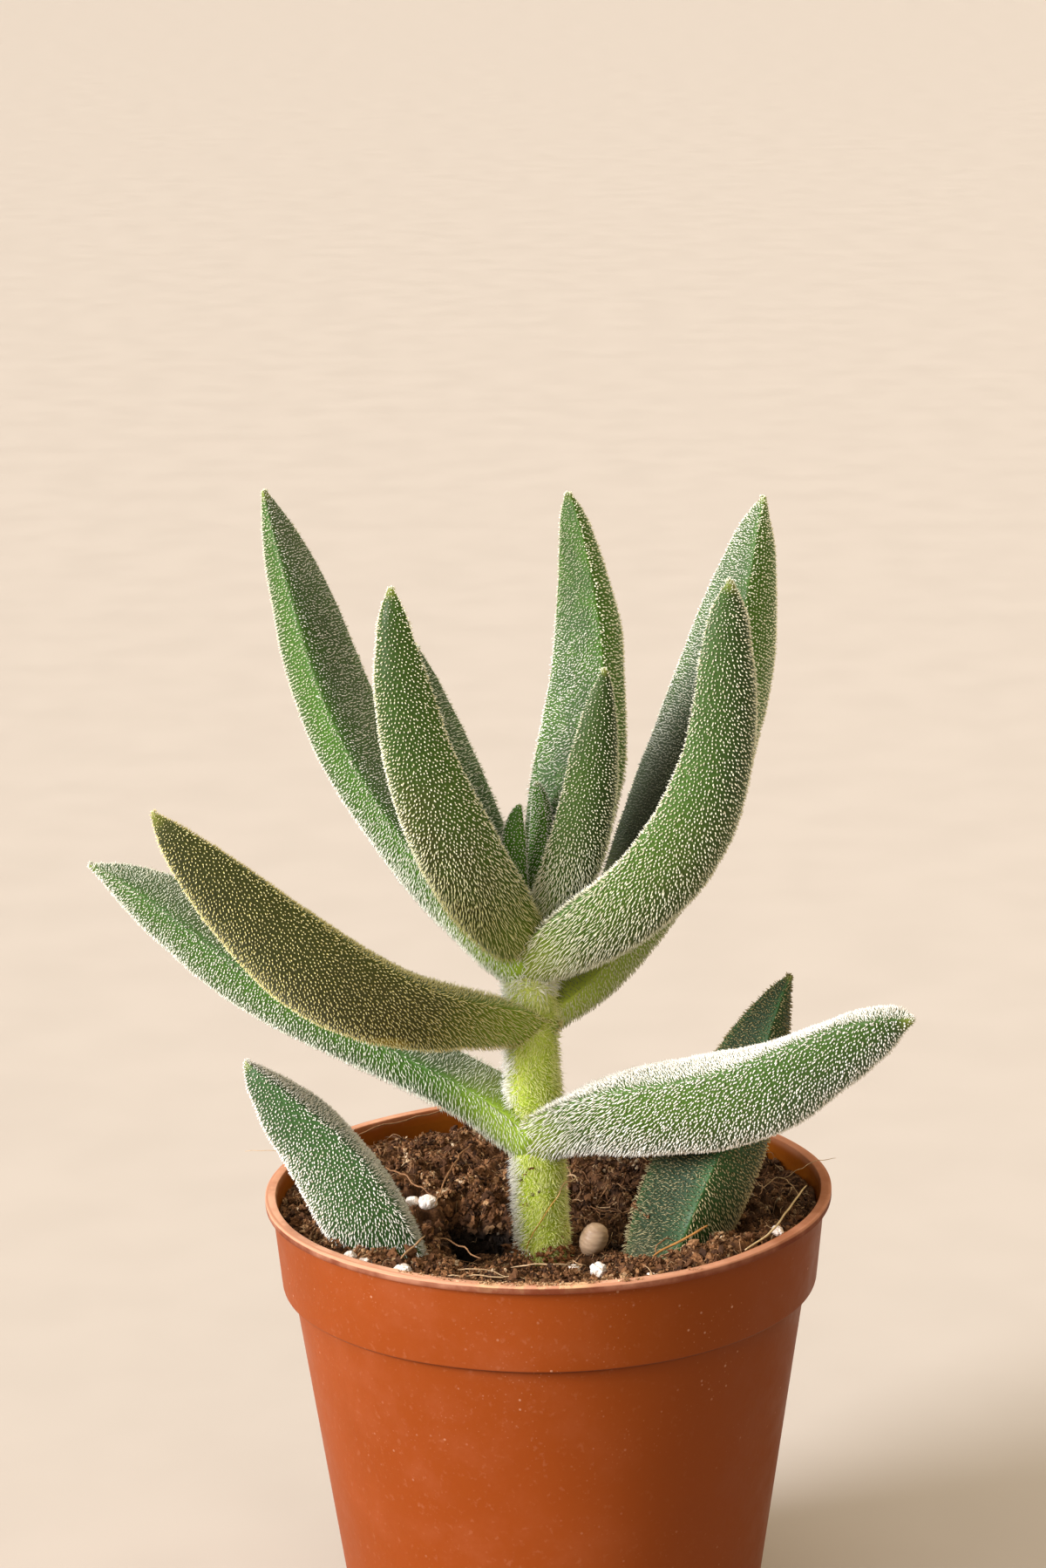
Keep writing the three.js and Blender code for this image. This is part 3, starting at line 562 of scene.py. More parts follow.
def leaf_length(leaf):
    if "length" not in leaf:
        leaf["length"] = float(np.linalg.norm(np.diff(leaf_axis(leaf, np.linspace(0, 1, 200)), axis=0), axis=1).sum())
    return leaf["length"]


def leaf_body(name, leaf, material, seed, butt=True):
    length = leaf_length(leaf)
    rings = max(40, int(length / 0.42))
    sides = 56 if length > 20 else 36
    cap = 2.5 * TIP_R / length
    s = np.concatenate([np.linspace(0, 1 - cap, rings), 1 - cap * (1 - np.sin(np.linspace(0, math.pi / 2, 12)[1:]))])
    if butt:
        s = np.concatenate([np.linspace(-0.049, -0.004, 8), s])
    th = np.arange(sides) / sides * 2 * math.pi
    # more points where the face turns at the two margins
    th = th - 0.1 * np.sin(2 * th)
    S, T = np.meshgrid(s, th, indexing="ij")
    p = leaf_point(leaf, S, T, seed)
    n = len(s)
    c, t, _, _, _ = leaf_frame(leaf, np.array([0.0, 1.0]))
    tip = p[-1].mean(0) + t[1] * 0.004
    base = p[0].mean(0)
    verts = np.concatenate([p.reshape(-1, 3), [base, tip]])
    k, j = np.meshgrid(np.arange(n - 1), np.arange(sides), indexing="ij")
    k, j = k.ravel(), j.ravel()
    j1 = (j + 1) % sides
    quads = np.stack([k * sides + j, k * sides + j1, (k + 1) * sides + j1, (k + 1) * sides + j], 1)
    uu = np.append(th, 2 * math.pi) / (2 * math.pi)
    vv = np.clip(s, 0, 1)
    uvq = np.stack([
        np.stack([uu[j], vv[k]], 1), np.stack([uu[j + 1], vv[k]], 1),
        np.stack([uu[j + 1], vv[k + 1]], 1), np.stack([uu[j], vv[k + 1]], 1)], 1)
    j = np.arange(sides)
    j1 = (j + 1) % sides
    first, last = n * sides, n * sides + 1
    tris = np.concatenate([
        np.stack([np.full(sides, first), j1, j], 1),
        np.stack([np.full(sides, last), (n - 1) * sides + j, (n - 1) * sides + j1], 1)])
    um = (uu[:-1] + uu[1:]) / 2
    z, o = np.zeros(sides), np.ones(sides)
    uvt = np.concatenate([
        np.stack([np.stack([um, z], 1), np.stack([uu[1:], z], 1), np.stack([uu[:-1], z], 1)], 1),
        np.stack([np.stack([um, o], 1), np.stack([uu[:-1], o], 1), np.stack([uu[1:], o], 1)], 1)])
    return new_mesh(name, verts, quads, tris, uvq, uvt, material)


def inside_leaf(leaf, p, grow=0.0, end=0.8):
    """Which of the points p lie inside the leaf."""
    s = np.linspace(0, 1, 90)
    c, t, side, face, a = leaf_frame(leaf, s)
    d = ((p[:, None, :] - c[None]) ** 2).sum(2)
    i = d.argmin(1)
    rel = p - c[i]
    x, y, z = (rel * side[i]).sum(1), (rel * face[i]).sum(1), (rel * t[i]).sum(1)
    r = a[i] + grow
    q = np.abs(x) / r
    up = INNER_BULGE * r * np.sqrt(np.clip(1 - q * q, 0, 1)) + grow
    down = OUTER_DEPTH * r * np.sqrt(np.clip(1 - q * q, 0, 1)) + grow
    return (q < 1) & (y < up) & (y > -down) & (np.abs(z) < end)


def stem_at(z):
    return through(STEM[:, 1], STEM[:, 0], z), through(STEM[:, 1], STEM[:, 2], z)


def inside_stem(p, grow=0.0):
    z = np.clip(p[:, 2], 36.5, 77.3)
    x, r = stem_at(z)
    return (np.hypot(p[:, 0] - x, p[:, 1] - STEM_Y) < r + grow) & (p[:, 2] < 77.3)


# ---------------------------------------------------------------- hairs
def hair_arrays(root, direction, bend, length, radius, rng, sides=3, steps=3, taper=(1.0, 0.95, 0.7)):
    """Closed tapering hairs: one body each. Vertices, quads, tris and UVs for all of them."""
    n = len(root)
    ref = np.where(np.abs(direction[:, 2:3]) < 0.9, [[0.0, 0.0, 1.0]], [[1.0, 0.0, 0.0]])
    e1 = unit(np.cross(direction, ref))
    e2 = np.cross(direction, e1)
    turn = rng.uniform(0, math.pi, n)[:, None]
    e1, e2 = e1 * np.cos(turn) + e2 * np.sin(turn), -e1 * np.sin(turn) + e2 * np.cos(turn)
    ts = np.linspace(0, 1, steps + 1)
    rows = []
    for k, t in enumerate(ts):
        mid = root + direction * (length * t)[:, None] + bend * (length * t * t)[:, None]
        if k == steps:
            rows.append(mid[:, None, :])
            continue
        th = np.arange(sides) / sides * 2 * math.pi
        r = (radius * taper[k])[:, None, None]
        ring = mid[:, None, :] + r * (np.cos(th)[None, :, None] * e1[:, None, :] + np.sin(th)[None, :, None] * e2[:, None, :])
        rows.append(ring)
    per = sides * steps + 1
    verts = np.concatenate(rows, 1).reshape(-1, 3)
    q, t3, vq, vt = [], [], [], []
    for k in range(steps - 1):
        for j in range(sides):
            j1 = (j + 1) % sides
            q.append((k * sides + j, k * sides + j1, (k + 1) * sides + j1, (k + 1) * sides + j))
            vq.append((ts[k], ts[k], ts[k + 1], ts[k + 1]))
    if sides == 4:
        q.append((3, 2, 1, 0))
        vq.append((0, 0, 0, 0))
    else:
        t3.append((2, 1, 0))
        vt.append((0, 0, 0))
    for j in range(sides):
        j1 = (j + 1) % sides
        t3.append(((steps - 1) * sides + j, (steps - 1) * sides + j1, steps * sides))
        vt.append((ts[steps - 1], ts[steps - 1], 1.0))
    off = (np.arange(n) * per)[:, None, None]
    quads = (np.array(q)[None] + off).reshape(-1, 4)
    tris = (np.array(t3)[None] + off).reshape(-1, 3)
    u = rng.uniform(0.02, 0.98, n)

    def uvs(v, m):
        v = np.array(v, float)
        out = np.empty((n, len(v), m, 2))
        out[..., 0] = u[:, None, None] + np.array([0.0, 0.004, 0.004, 0.0][:m])[None, None]
        out[..., 1] = v[None]
        return out.reshape(-1, m, 2)

    return verts, quads, tris, uvs(vq, 4), uvs(vt, 3)


# arc length round the section, to spread the hairs evenly
_TH = np.linspace(0, 2 * math.pi, 721)
_X, _Y = section(_TH)
_ARC = np.concatenate([[0], np.cumsum(np.hypot(np.diff(_X), np.diff(_Y)))])
_ROUND = _ARC[-1]


def hair_sites(leaf, rng, spacing, first=0.0, low=0.0):
    """Even but unruly sites on the leaf's skin, row by row, closer together towards the tip."""
    total = leaf_length(leaf)
    fine = np.linspace(0, 1, 400)
    half = through(STATIONS, leaf["half"], fine)
    slope = np.sqrt(1 + (np.gradient(half) / (total / 399)) ** 2 * 1.2) * (1 + 0.2 * smooth(0.88, 0.99, fine)) * (1 + low * smooth(0.5, 0.1, fine))
    run = np.concatenate([[0], np.cumsum(slope[1:] * np.diff(fine) * total)])
    rows = int(run[-1] / (spacing * 0.9))
    S, T = [], []
    for k in range(rows):
        s = np.interp((k + 0.5) / rows * run[-1], run, fine)
        a = float(max(0.05, through(STATIONS, leaf["half"], s)))
        n = max(6, int(round(a * _ROUND / spacing * (1 + 0.2 * smooth(0.88, 0.99, s)) * (1 + low * smooth(0.5, 0.1, s)))))
        arc = ((np.arange(n) + 0.5 * (k % 2) + rng.uniform(0, 0.3)) / n * _ROUND) % _ROUND
        arc = (arc + rng.normal(0, 0.17, n) * spacing / a) % _ROUND
        T.append(np.interp(arc, _ARC, _TH))
        S.append(np.full(n, s) + rng.normal(0, 0.18, n) * spacing / total)
    S, T = np.clip(np.concatenate(S), 0.0, 0.9985), np.concatenate(T)
    if first < 0:
        # the rounded foot of the leaf, where it clasps the stem
        n = int(300 / (spacing / 0.38) ** 2)
        S = np.append(S, rng.uniform(first, 0, n))
        T = np.append(T, rng.uniform(0, 2 * math.pi, n))
    return S, T


def free_sites(leaf, S, T, seed, others):
    """Which sites stand clear of the soil, the stem and the other leaves."""
    p = leaf_point(leaf, S, T, seed)
    keep = (p[:, 2] > soil_top(p[:, 0], p[:, 1]) - 0.3) & ~inside_stem(p, 0.05)
    for other in others:
        lo, hi = leaf_box(other)
        cand = np.where(((p > lo) & (p < hi)).all(1) & keep)[0]
        if len(cand):
            keep[cand[inside_leaf(other, p[cand])]] = False
    return keep


def leaf_hairs(name, leaf, material, inner_material, seed, others, spacing=0.38, length=0.32, radius=0.072, lean=0.13, inner_spacing=0.35, low=0.0, all_round=False):
    """Short stout papillae: upright on the outer face, longer and combed down near the foot, a little finer on the inner face."""
    rng = np.random.default_rng(seed)
    rooted = name.startswith("leaf_soil")

    def grow(suffix, S, T, d_of, ln, rd, steps, taper, sink=0.05):
        keep = free_sites(leaf, S, T, seed, others)
        S, T = S[keep], T[keep]
        Sc = np.clip(S, 0, 1)
        p, nrm = leaf_point(leaf, S, T, seed), leaf_normal(leaf, S, T, seed)
        _, tan, side, face, a = leaf_frame(leaf, Sc)
        n = len(p)
        foot = smooth(0.5, 0.1, Sc)
        d, bend = d_of(p, nrm, tan, side, S, T, foot)
        small = np.clip(a / 1.5, 0.78, 1)
        L = ln * np.clip(rng.normal(1, 0.17, n), 0.55, 1.5) * (1 + 0.75 * foot) * small
        R = rd * np.clip(rng.normal(1, 0.13, n), 0.7, 1.3) * (1 - 0.5 * foot) * (1 - 0.12 * smooth(0.55, 0.9, Sc))
        return p - nrm * sink, d, bend, L, R

    # outer face
    def outer_way(p, nrm, tan, side, S, T, foot):
        n = len(p)
        near_tip = smooth(0.93, 1.0, S)
        wander = np.stack([vnoise(p, 1 / 2.2, seed + 31 + i) for i in range(3)], 1)
        d = nrm - tan * ((lean + 0.5 * foot) * (1 - near_tip))[:, None] + wander * (0.1 + 0.12 * foot)[:, None] + np.array([0, 0, -0.1])
        d = unit(d + rng.normal(0, 0.1, (n, 3)) + tan * (0.2 * near_tip)[:, None])
        bend = unit(-tan + 0.5 * wander + np.array([0, 0, -0.4])) * (rng.uniform(0.0, 0.12, n) + 0.2 * foot)[:, None] * (1 - near_tip)[:, None]
        return d, bend

    S, T = hair_sites(leaf, rng, spacing, 0.0 if rooted else -0.042, low)
    if not all_round:
        on = rng.uniform(0, 1, len(S)) < smooth(0.3, 0.0, np.sin(T))
        S, T = S[on], T[on]
    parts = [grow("", S, T, outer_way, length, radius, 3, None)]
    # a close row along both margins, so that no bare line shows where the two faces meet
    n = int(leaf_length(leaf) / spacing * 2.0)
    S = (np.arange(n) // 2 * 2 + rng.uniform(0, 1.2, n)) / n * 0.965 + 0.02
    T = np.arange(n) % 2 * math.pi + rng.normal(0.03, 0.07, n)
    parts.append(grow("", S, T, outer_way, length * 1.3, radius * 0.85, 3, None))
    # and a looser band beside it, on the outer face
    n = int(leaf_length(leaf) / spacing * 0.8)
    S = rng.uniform(0.02, 0.97, n)
    T = rng.integers(0, 2, n) * math.pi
    T = T + np.where(T > 1, 1, -1) * np.abs(rng.normal(0.1, 0.2, n))
    parts.append(grow("", S, T, outer_way, length, radius * 0.85, 3, None))
    # the dome at the tip carries a tight crown of them
    c, tan, side, face, _ = (v[0] for v in leaf_frame(leaf, np.array([1 - TIP_R / leaf_length(leaf)])))
    n = 22
    up_, ang = 1 - (np.arange(n) + 0.5) / n * 0.95, np.arange(n) * 2.39996 + rng.normal(0, 0.1, n)
    flat_ = np.sqrt(1 - up_**2)
    d = tan * up_[:, None] + side * (flat_ * np.cos(ang))[:, None] + face * (flat_ * np.sin(ang))[:, None]
    squash = np.array([1.0]) * TIP_R * 0.72
    parts.append((c + d * squash, unit(d + rng.normal(0, 0.1, (n, 3))), np.zeros((n, 3)), length * 0.85 * rng.uniform(0.7, 1.15, n), np.full(n, radius * 0.72)))
    arrays = hair_arrays(*(np.concatenate(x) for x in zip(*parts)), rng, taper=(0.9, 1.0, 0.9))
    made = [new_mesh(name + "_hairs", *arrays, material)]
    if all_round:
        return made

    # inner face
    def inner_way(p, nrm, tan, side, S, T, foot):
        n = len(p)
        near_tip = smooth(0.93, 1.0, S)
        wander = np.stack([vnoise(p, 1 / 1.3, seed + 51 + i) for i in range(3)], 1)
        d = nrm * 0.9 - tan * (0.2 * (1 - near_tip))[:, None] + wander * 0.32 + rng.normal(0, 0.22, (n, 3)) + tan * (0.25 * near_tip)[:, None]
        away = (d * nrm).sum(1)
        d = unit(d + nrm * np.maximum(0, 0.45 - away)[:, None])
        bend = unit(wander + rng.normal(0, 0.8, (n, 3)) - nrm * 0.3) * rng.uniform(0.0, 0.22, n)[:, None]
        return d, bend

    S, T = hair_sites(leaf, rng, inner_spacing, 0.0 if rooted else -0.042)
    on = rng.uniform(0, 1, len(S)) < smooth(-0.12, 0.14, np.sin(T))
    arrays = hair_arrays(*grow("", S[on], T[on], inner_way, length * 1.1, radius * 0.8, 2, None, 0.04), rng, steps=2, taper=(1.0, 0.92))
    made.append(new_mesh(name + "_down", *arrays, inner_material))
    return made


_BOXES = {}


def leaf_box(leaf):
    key = id(leaf)
    if key not in _BOXES:
        c, _, _, _, a = leaf_frame(leaf, np.linspace(0, 1, 60))
        r = a[:, None] * 1.5 + 0.5
        _BOXES[key] = ((c - r).min(0), (c + r).max(0))
    return _BOXES[key]


# ---------------------------------------------------------------- soil shape
def soil_top(x, y):
    x, y = np.asarray(x, float), np.asarray(y, float)
    d, th, r = np.hypot(x + 0.6, y - STEM_Y), np.arctan2(y, x), np.hypot(x, y)
    rise = (SOIL_RISE - 0.75 * np.sin(th) * smooth(8, 22, r)) * smooth(5, 22, d)
    bump = lambda bx, by, h, s: h * np.exp(-((x - bx) ** 2 + (y - by) ** 2) / (2 * s * s))
    rough = 0.22 * np.sin(1.1 * x + 0.7) * np.sin(0.9 * y + 1.9) + 0.14 * np.sin(2.1 * x - 1.3 * y)
    z = HOLLOW_Z + rise + rough + bump(-11, -15, 0.7, 3) + bump(13.5, -15, 0.9, 3.6) - bump(-7, 0.5, 0.9, 3)
    return np.minimum(POT_HEIGHT - 0.5, z)


def pot_inner(z):
    body_in = BODY_BASE_R - WALL + 0.1
    low = body_in + (BODY_TOP_R - WALL - body_in) * np.maximum(0, z - FLOOR) / (STEP_Z - FLOOR)
    high = COLLAR_BOTTOM_R - WALL + (COLLAR_TOP_R - COLLAR_BOTTOM_R) * (z - STEP_Z) / COLLAR_HEIGHT
    return np.where(z < STEP_Z, low, high)


def soil_surface(x, y):
    """The soil's uneven top: clods, creases, pits, the deep hollow beside the stem and a seat for each loose grain."""
    p = np.stack([x, y, np.zeros_like(x)], -1).reshape(-1, 3)
    X, Y = p[:, 0], p[:, 1]
    r = np.hypot(X, Y)
    warp = np.stack([vnoise(p, 1 / 1.7, 31), vnoise(p, 1 / 1.7, 32), np.zeros(len(p))], 1) * 0.7
    clods = fbm(p, 1 / 3.0, 2, 41)
    lumps = 2 * np.abs(fbm(p + warp, 1 / 1.9, 2, 57)) - 0.7
    crumbs = 2 * np.abs(fbm(p + warp * 0.5, 1 / 0.85, 2, 67)) - 0.7
    grit = fbm(p, 1 / 0.42, 2, 73)
    pits = smooth(0.25, 0.6, vnoise(p + warp, 1 / 2.1, 91)) * smooth(25.6, 23.5, r)
    edge = 1 - 0.6 * smooth(24.3, 26.1, r)
    z = soil_top(X, Y) - 0.2 + (0.45 * clods + 0.36 * lumps + 0.2 * crumbs + 0.1 * grit - 0.9 * pits) * edge
    well = np.sqrt(((X + 7.2) / 4.4) ** 2 + ((Y - 0.9) / 5.0) ** 2) + 0.22 * clods + 0.16 * lumps + 0.08 * crumbs
    z = z - 5.4 * smooth(1.2, 0.42, well)
    for gx, gy, gz, hx, hy, hz in SEATS:
        w = np.exp(-(((X - gx) ** 2 + (Y - gy) ** 2) / (max(hx, hy) + 0.3) ** 2) ** 2)
        z = z * (1 - w) + w * (gz - (0.85 if gz == PEBBLE["at"][2] else 0.6) * hz)
    return z.reshape(np.shape(x))


# ================================================================ the camera
YAW, PITCH, ROLL = math.radians(0.27006), math.radians(13.7563), math.radians(1.0007)
fwd = Vector((-math.sin(YAW) * math.cos(PITCH), math.cos(YAW) * math.cos(PITCH), -math.sin(PITCH)))
right = Vector((math.cos(YAW), math.sin(YAW), 0.0))
upv = right.cross(fwd)
ex = right * math.cos(ROLL) - upv * math.sin(ROLL)
ey = right * math.sin(ROLL) + upv * math.cos(ROLL)
cam_data = bpy.data.cameras.new("camera")
cam = bpy.data.objects.new("camera", cam_data)
bpy.context.scene.collection.objects.link(cam)
rot = Matrix((ex, ey, -fwd)).transposed()
cam.matrix_world = Matrix.Translation((0.0, -0.370197, 0.178891)) @ rot.to_4x4()
cam_data.sensor_fit = "AUTO"
cam_data.sensor_width = 36.0
cam_data.lens = 4600 / 1798 * 36.0
cam_data.clip_start = 0.01
cam_data.clip_end = 50.0
bpy.context.scene.camera = cam

# ================================================================ materials of the plant
BASE = srgb(150, 168, 62)
TIP = srgb(150, 156, 66)
leaf_mats = {
    "front": leaf_material("leaf_front", srgb(48, 54, 4), srgb(64, 84, 40), srgb(140, 172, 34), TIP, srgb(78, 86, 18), 0.45,
                           spot=(0.80, 0.36, 0.05, 0.05, srgb(168, 146, 34)), lower=srgb(58, 54, 6), base_to=0.36),
    "mid": leaf_material("leaf_mid", srgb(40, 66, 6), srgb(60, 88, 44), BASE, TIP, srgb(70, 112, 18), 0.5, lower=srgb(66, 80, 12)),
    "inner": leaf_material("leaf_within", srgb(40, 64, 4), srgb(58, 84, 40), srgb(104, 128, 40), TIP, srgb(72, 108, 18), 0.5, lower=srgb(50, 68, 22)),
    "tall": leaf_material("leaf_tall", srgb(62, 100, 0), srgb(56, 82, 46), srgb(150, 178, 48), srgb(112, 126, 40), srgb(76, 124, 6), 0.5),
    "olive": leaf_material("leaf_olive", srgb(46, 76, 2), srgb(58, 84, 40), srgb(104, 122, 34), TIP, srgb(72, 108, 18), 0.5, lower=srgb(58, 56, 8)),
    "back": leaf_material("leaf_back", srgb(40, 74, 2), srgb(58, 86, 46), srgb(150, 178, 48), TIP, srgb(70, 118, 8), 0.5),
    # leaf_far: its very pale foot is painted light, and its shade term paints shadow low on the inner face
    "far": leaf_material("leaf_far", srgb(60, 96, 2), srgb(70, 94, 62), srgb(196, 214, 84), TIP, srgb(72, 120, 10), 0.5,
                         shade=(srgb(26, 34, 20), 0.5, 0.8, 0.85), base_to=0.36),
    "low": leaf_material("leaf_low", srgb(46, 78, 34), srgb(66, 92, 68), srgb(84, 104, 58), TIP, srgb(54, 104, 30), 0.5),
    "shaded": leaf_material("leaf_shaded", srgb(20, 40, 10), srgb(30, 50, 30), srgb(74, 74, 54), TIP, srgb(44, 100, 26), 0.6),
    "tip": leaf_material("leaf_young", srgb(58, 106, 8), srgb(60, 106, 14), srgb(84, 112, 30), TIP, srgb(96, 150, 34), 0.4),
}
HAIR = hair_material("leaf_hair", srgb(128, 136, 74), srgb(224, 224, 190), srgb(253, 250, 236))
HAIR_WARM = hair_material("leaf_hair_warm", srgb(88, 88, 6), srgb(206, 195, 110), srgb(251, 244, 198))
# hair colours with a height band are darker over that band: painted shade
HAIR_OLIVE = hair_material("leaf_hair_olive", srgb(120, 126, 56), srgb(226, 224, 176), srgb(254, 252, 240), painted_shade=(0.0765, 0.088, (0.76, 0.735, 0.46)))
HAIR_COOL = hair_material("leaf_hair_cool", srgb(118, 134, 92), srgb(214, 219, 198), srgb(247, 248, 238))
HAIR_WHITE = hair_material("leaf_hair_white", srgb(140, 150, 118), srgb(234, 232, 222), srgb(255, 253, 250))
HAIR_FAR = hair_material("leaf_hair_far", srgb(140, 150, 118), srgb(228, 230, 216), srgb(252, 252, 244), painted_shade=(0.084, 0.101, (0.24, 0.26, 0.23)))
HAIR_SHADED = hair_material("leaf_hair_shaded", srgb(80, 78, 40), srgb(154, 142, 104), srgb(194, 182, 142), painted_shade=(0.068, 0.056, (0.5, 0.49, 0.38)))
HAIR_BRIGHT = hair_material("leaf_hair_bright", srgb(150, 168, 60), srgb(246, 246, 210), srgb(255, 255, 240))
HAIR_LEFT = hair_material("leaf_hair_left", srgb(116, 134, 80), srgb(224, 228, 208), srgb(253, 254, 246), painted_shade=(0.098, 0.082, (0.83, 0.84, 0.72)))
HAIRS = {
    "leaf_pair1_right": HAIR_WHITE, "leaf_soil_left": HAIR_WHITE, "leaf_pair4_back": HAIR_BRIGHT, "leaf_pair2_right": HAIR_BRIGHT,
    "leaf_pair2_left": HAIR_WARM, "leaf_pair4_front": HAIR_OLIVE, "leaf_pair5_right": HAIR, "leaf_pair3_right": HAIR,
    "leaf_tip_front": HAIR_WHITE, "leaf_tip_back": HAIR_WHITE, "leaf_soil_right": HAIR_SHADED, "leaf_pair3_left": HAIR_LEFT,
}
# darker over its height band: painted shade
HAIR_BACK = hair_material("leaf_hair_back", srgb(134, 148, 104), srgb(236, 238, 224), srgb(255, 255, 250), painted_shade=(0.109, 0.098, (0.55, 0.58, 0.44)))
DOWNS = {"leaf_pair2_right": HAIR_FAR, "leaf_pair4_back": HAIR_BACK, "leaf_pair3_left": HAIR_WHITE}
# per leaf: hair radius, spacing on the inner face, spacing on the outer face, length, lean towards the foot, extra density low down
HAIR_SIZE = {
    "leaf_pair1_right": (0.071, 0.26, 0.365, 0.31, 0.26, 0.0), "leaf_pair4_back": (0.08, 0.325, 0.41, 0.26, 0.0, 0.0),
    "leaf_soil_left": (0.076, 0.31, 0.38, 0.3, 0.13, 0.1), "leaf_pair2_right": (0.086, 0.33, 0.39, 0.22, 0.02, 0.3),
    "leaf_pair3_right": (0.069, 0.35, 0.36, 0.31, 0.24, 0.05), "leaf_pair3_left": (0.068, 0.35, 0.39, 0.26, 0.08, 0.6),
    "leaf_pair5_right": (0.064, 0.33, 0.345, 0.27, 0.1, 0.55), "leaf_pair4_front": (0.07, 0.35, 0.375, 0.3, 0.12, 0.15),
    "leaf_pair2_left": (0.062, 0.35, 0.37, 0.29, 0.14, 0.1), "leaf_tip_front": (0.07, 0.3, 0.31, 0.24, 0.03, 0.0),
    "leaf_tip_back": (0.07, 0.3, 0.31, 0.24, 0.03, 0.0),
}
STEM_HAIR = hair_material("stem_hair", srgb(200, 218, 78), srgb(238, 244, 148), srgb(250, 252, 198))
STEM_HAIR_PAINTED_LIT = hair_material("stem_hair_painted_lit", srgb(232, 238, 190), srgb(254, 254, 240), srgb(255, 255, 255))

LOOK = {
    "leaf_soil_left": "low", "leaf_soil_right": "shaded", "leaf_pair1_right": "mid", "leaf_pair1_left": "back",
    "leaf_pair2_left": "front", "leaf_pair2_right": "far", "leaf_pair3_right": "mid", "leaf_pair3_left": "back",
    "leaf_pair4_front": "olive", "leaf_pair4_back": "tall", "leaf_pair5_right": "inner", "leaf_pair5_left": "back",
    "leaf_tip_front": "tip", "leaf_tip_back": "tip",
}

# ================================================================ leaves
for k, (name, leaf) in enumerate(LEAVES.items()):
    seed = 100 + 7 * k
    look = LOOK[name]
    small = name.startswith("leaf_tip")
    body = leaf_body(name + "_flesh", leaf, leaf_mats[look], seed, butt=not name.startswith("leaf_soil"))
    piece(body, name)
    others = [o for n, o in LEAVES.items() if n != name]
    coarse = 1
    radius, inner_apart, apart, length, lean, low = HAIR_SIZE.get(name, (0.072, 0.35, 0.375, 0.32, 0.13, 0.0))
    for hairs in leaf_hairs(
            name, leaf, HAIRS.get(name, HAIR_COOL), DOWNS.get(name, HAIRS.get(name, HAIR_COOL)), seed, others,
            spacing=apart * coarse, length=length, radius=radius, lean=lean, inner_spacing=inner_apart * coarse, low=low, all_round=small):
        piece(hairs, name)


# ================================================================ stem
def stem_radius(z, th):
    x, r = stem_at(z)
    for zn in STEM_NODES:
        r = r + 0.16 * np.exp(-(((z - zn) / 1.1) ** 2))
    p = np.stack([r * np.cos(th), r * np.sin(th), z], -1)
    wave = vnoise(p.reshape(-1, 3), 1 / 4.0, 900).reshape(z.shape) * 0.06 + vnoise(p.reshape(-1, 3) * [1, 1, 0.15], 1 / 0.9, 901).reshape(z.shape) * 0.03
    return x, r + wave


def stem_flesh():
    m = Mat("stem_flesh")
    p = m.coords()
    sep = m.node("ShaderNodeSeparateXYZ")
    m.put(sep.inputs[0], p)
    z = sep.outputs[2]
    streak = m.node("ShaderNodeMapping")
    m.put(streak.inputs["Vector"], p)
    streak.inputs["Scale"].default_value = (1.0, 1.0, 0.16)
    long_noise = m.noise(900.0, 4, 0.6, streak.outputs[0])
    blotch = m.noise(260.0, 3, 0.55)
    col = m.mix(m.remap(long_noise, 0.35, 0.68), srgb(166, 190, 40), srgb(200, 216, 92))
    col = m.mix(m.remap(blotch, 0.45, 0.7, 0.0, 0.4), col, srgb(146, 168, 34))
    # painted light: the stem paler from the second node up, standing for light passing through it
    col = m.mix(m.remap(z, 0.0660, 0.0700, 0.0, 0.85), col, srgb(226, 238, 138))
    col = m.mix(m.remap(z, 0.0455, 0.0425, 0.0, 0.5), col, srgb(160, 140, 76))
    specks = m.remap(m.voronoi(700.0), 0.2, 0.1)
    specks = m.math("MULTIPLY", specks, m.remap(m.noise(300.0, 2, 0.5), 0.5, 0.6))
    col = m.mix(m.math("MULTIPLY", specks, m.remap(z, 0.057, 0.051)), col, srgb(70, 48, 24))
    return m.set(
        Base_Color=col, Roughness=m.remap(blotch, 0.3, 0.7, 0.45, 0.62, "LINEAR"), Specular_IOR_Level=0.35,
        Subsurface_Weight=0.5, Subsurface_Radius=(0.9, 1.0, 0.3), Subsurface_Scale=0.0018,
        Sheen_Weight=0.4, Sheen_Roughness=0.4, Sheen_Tint=(1.0, 1.0, 0.86),
        Normal=m.bump(long_noise, 0.3, 0.0001))


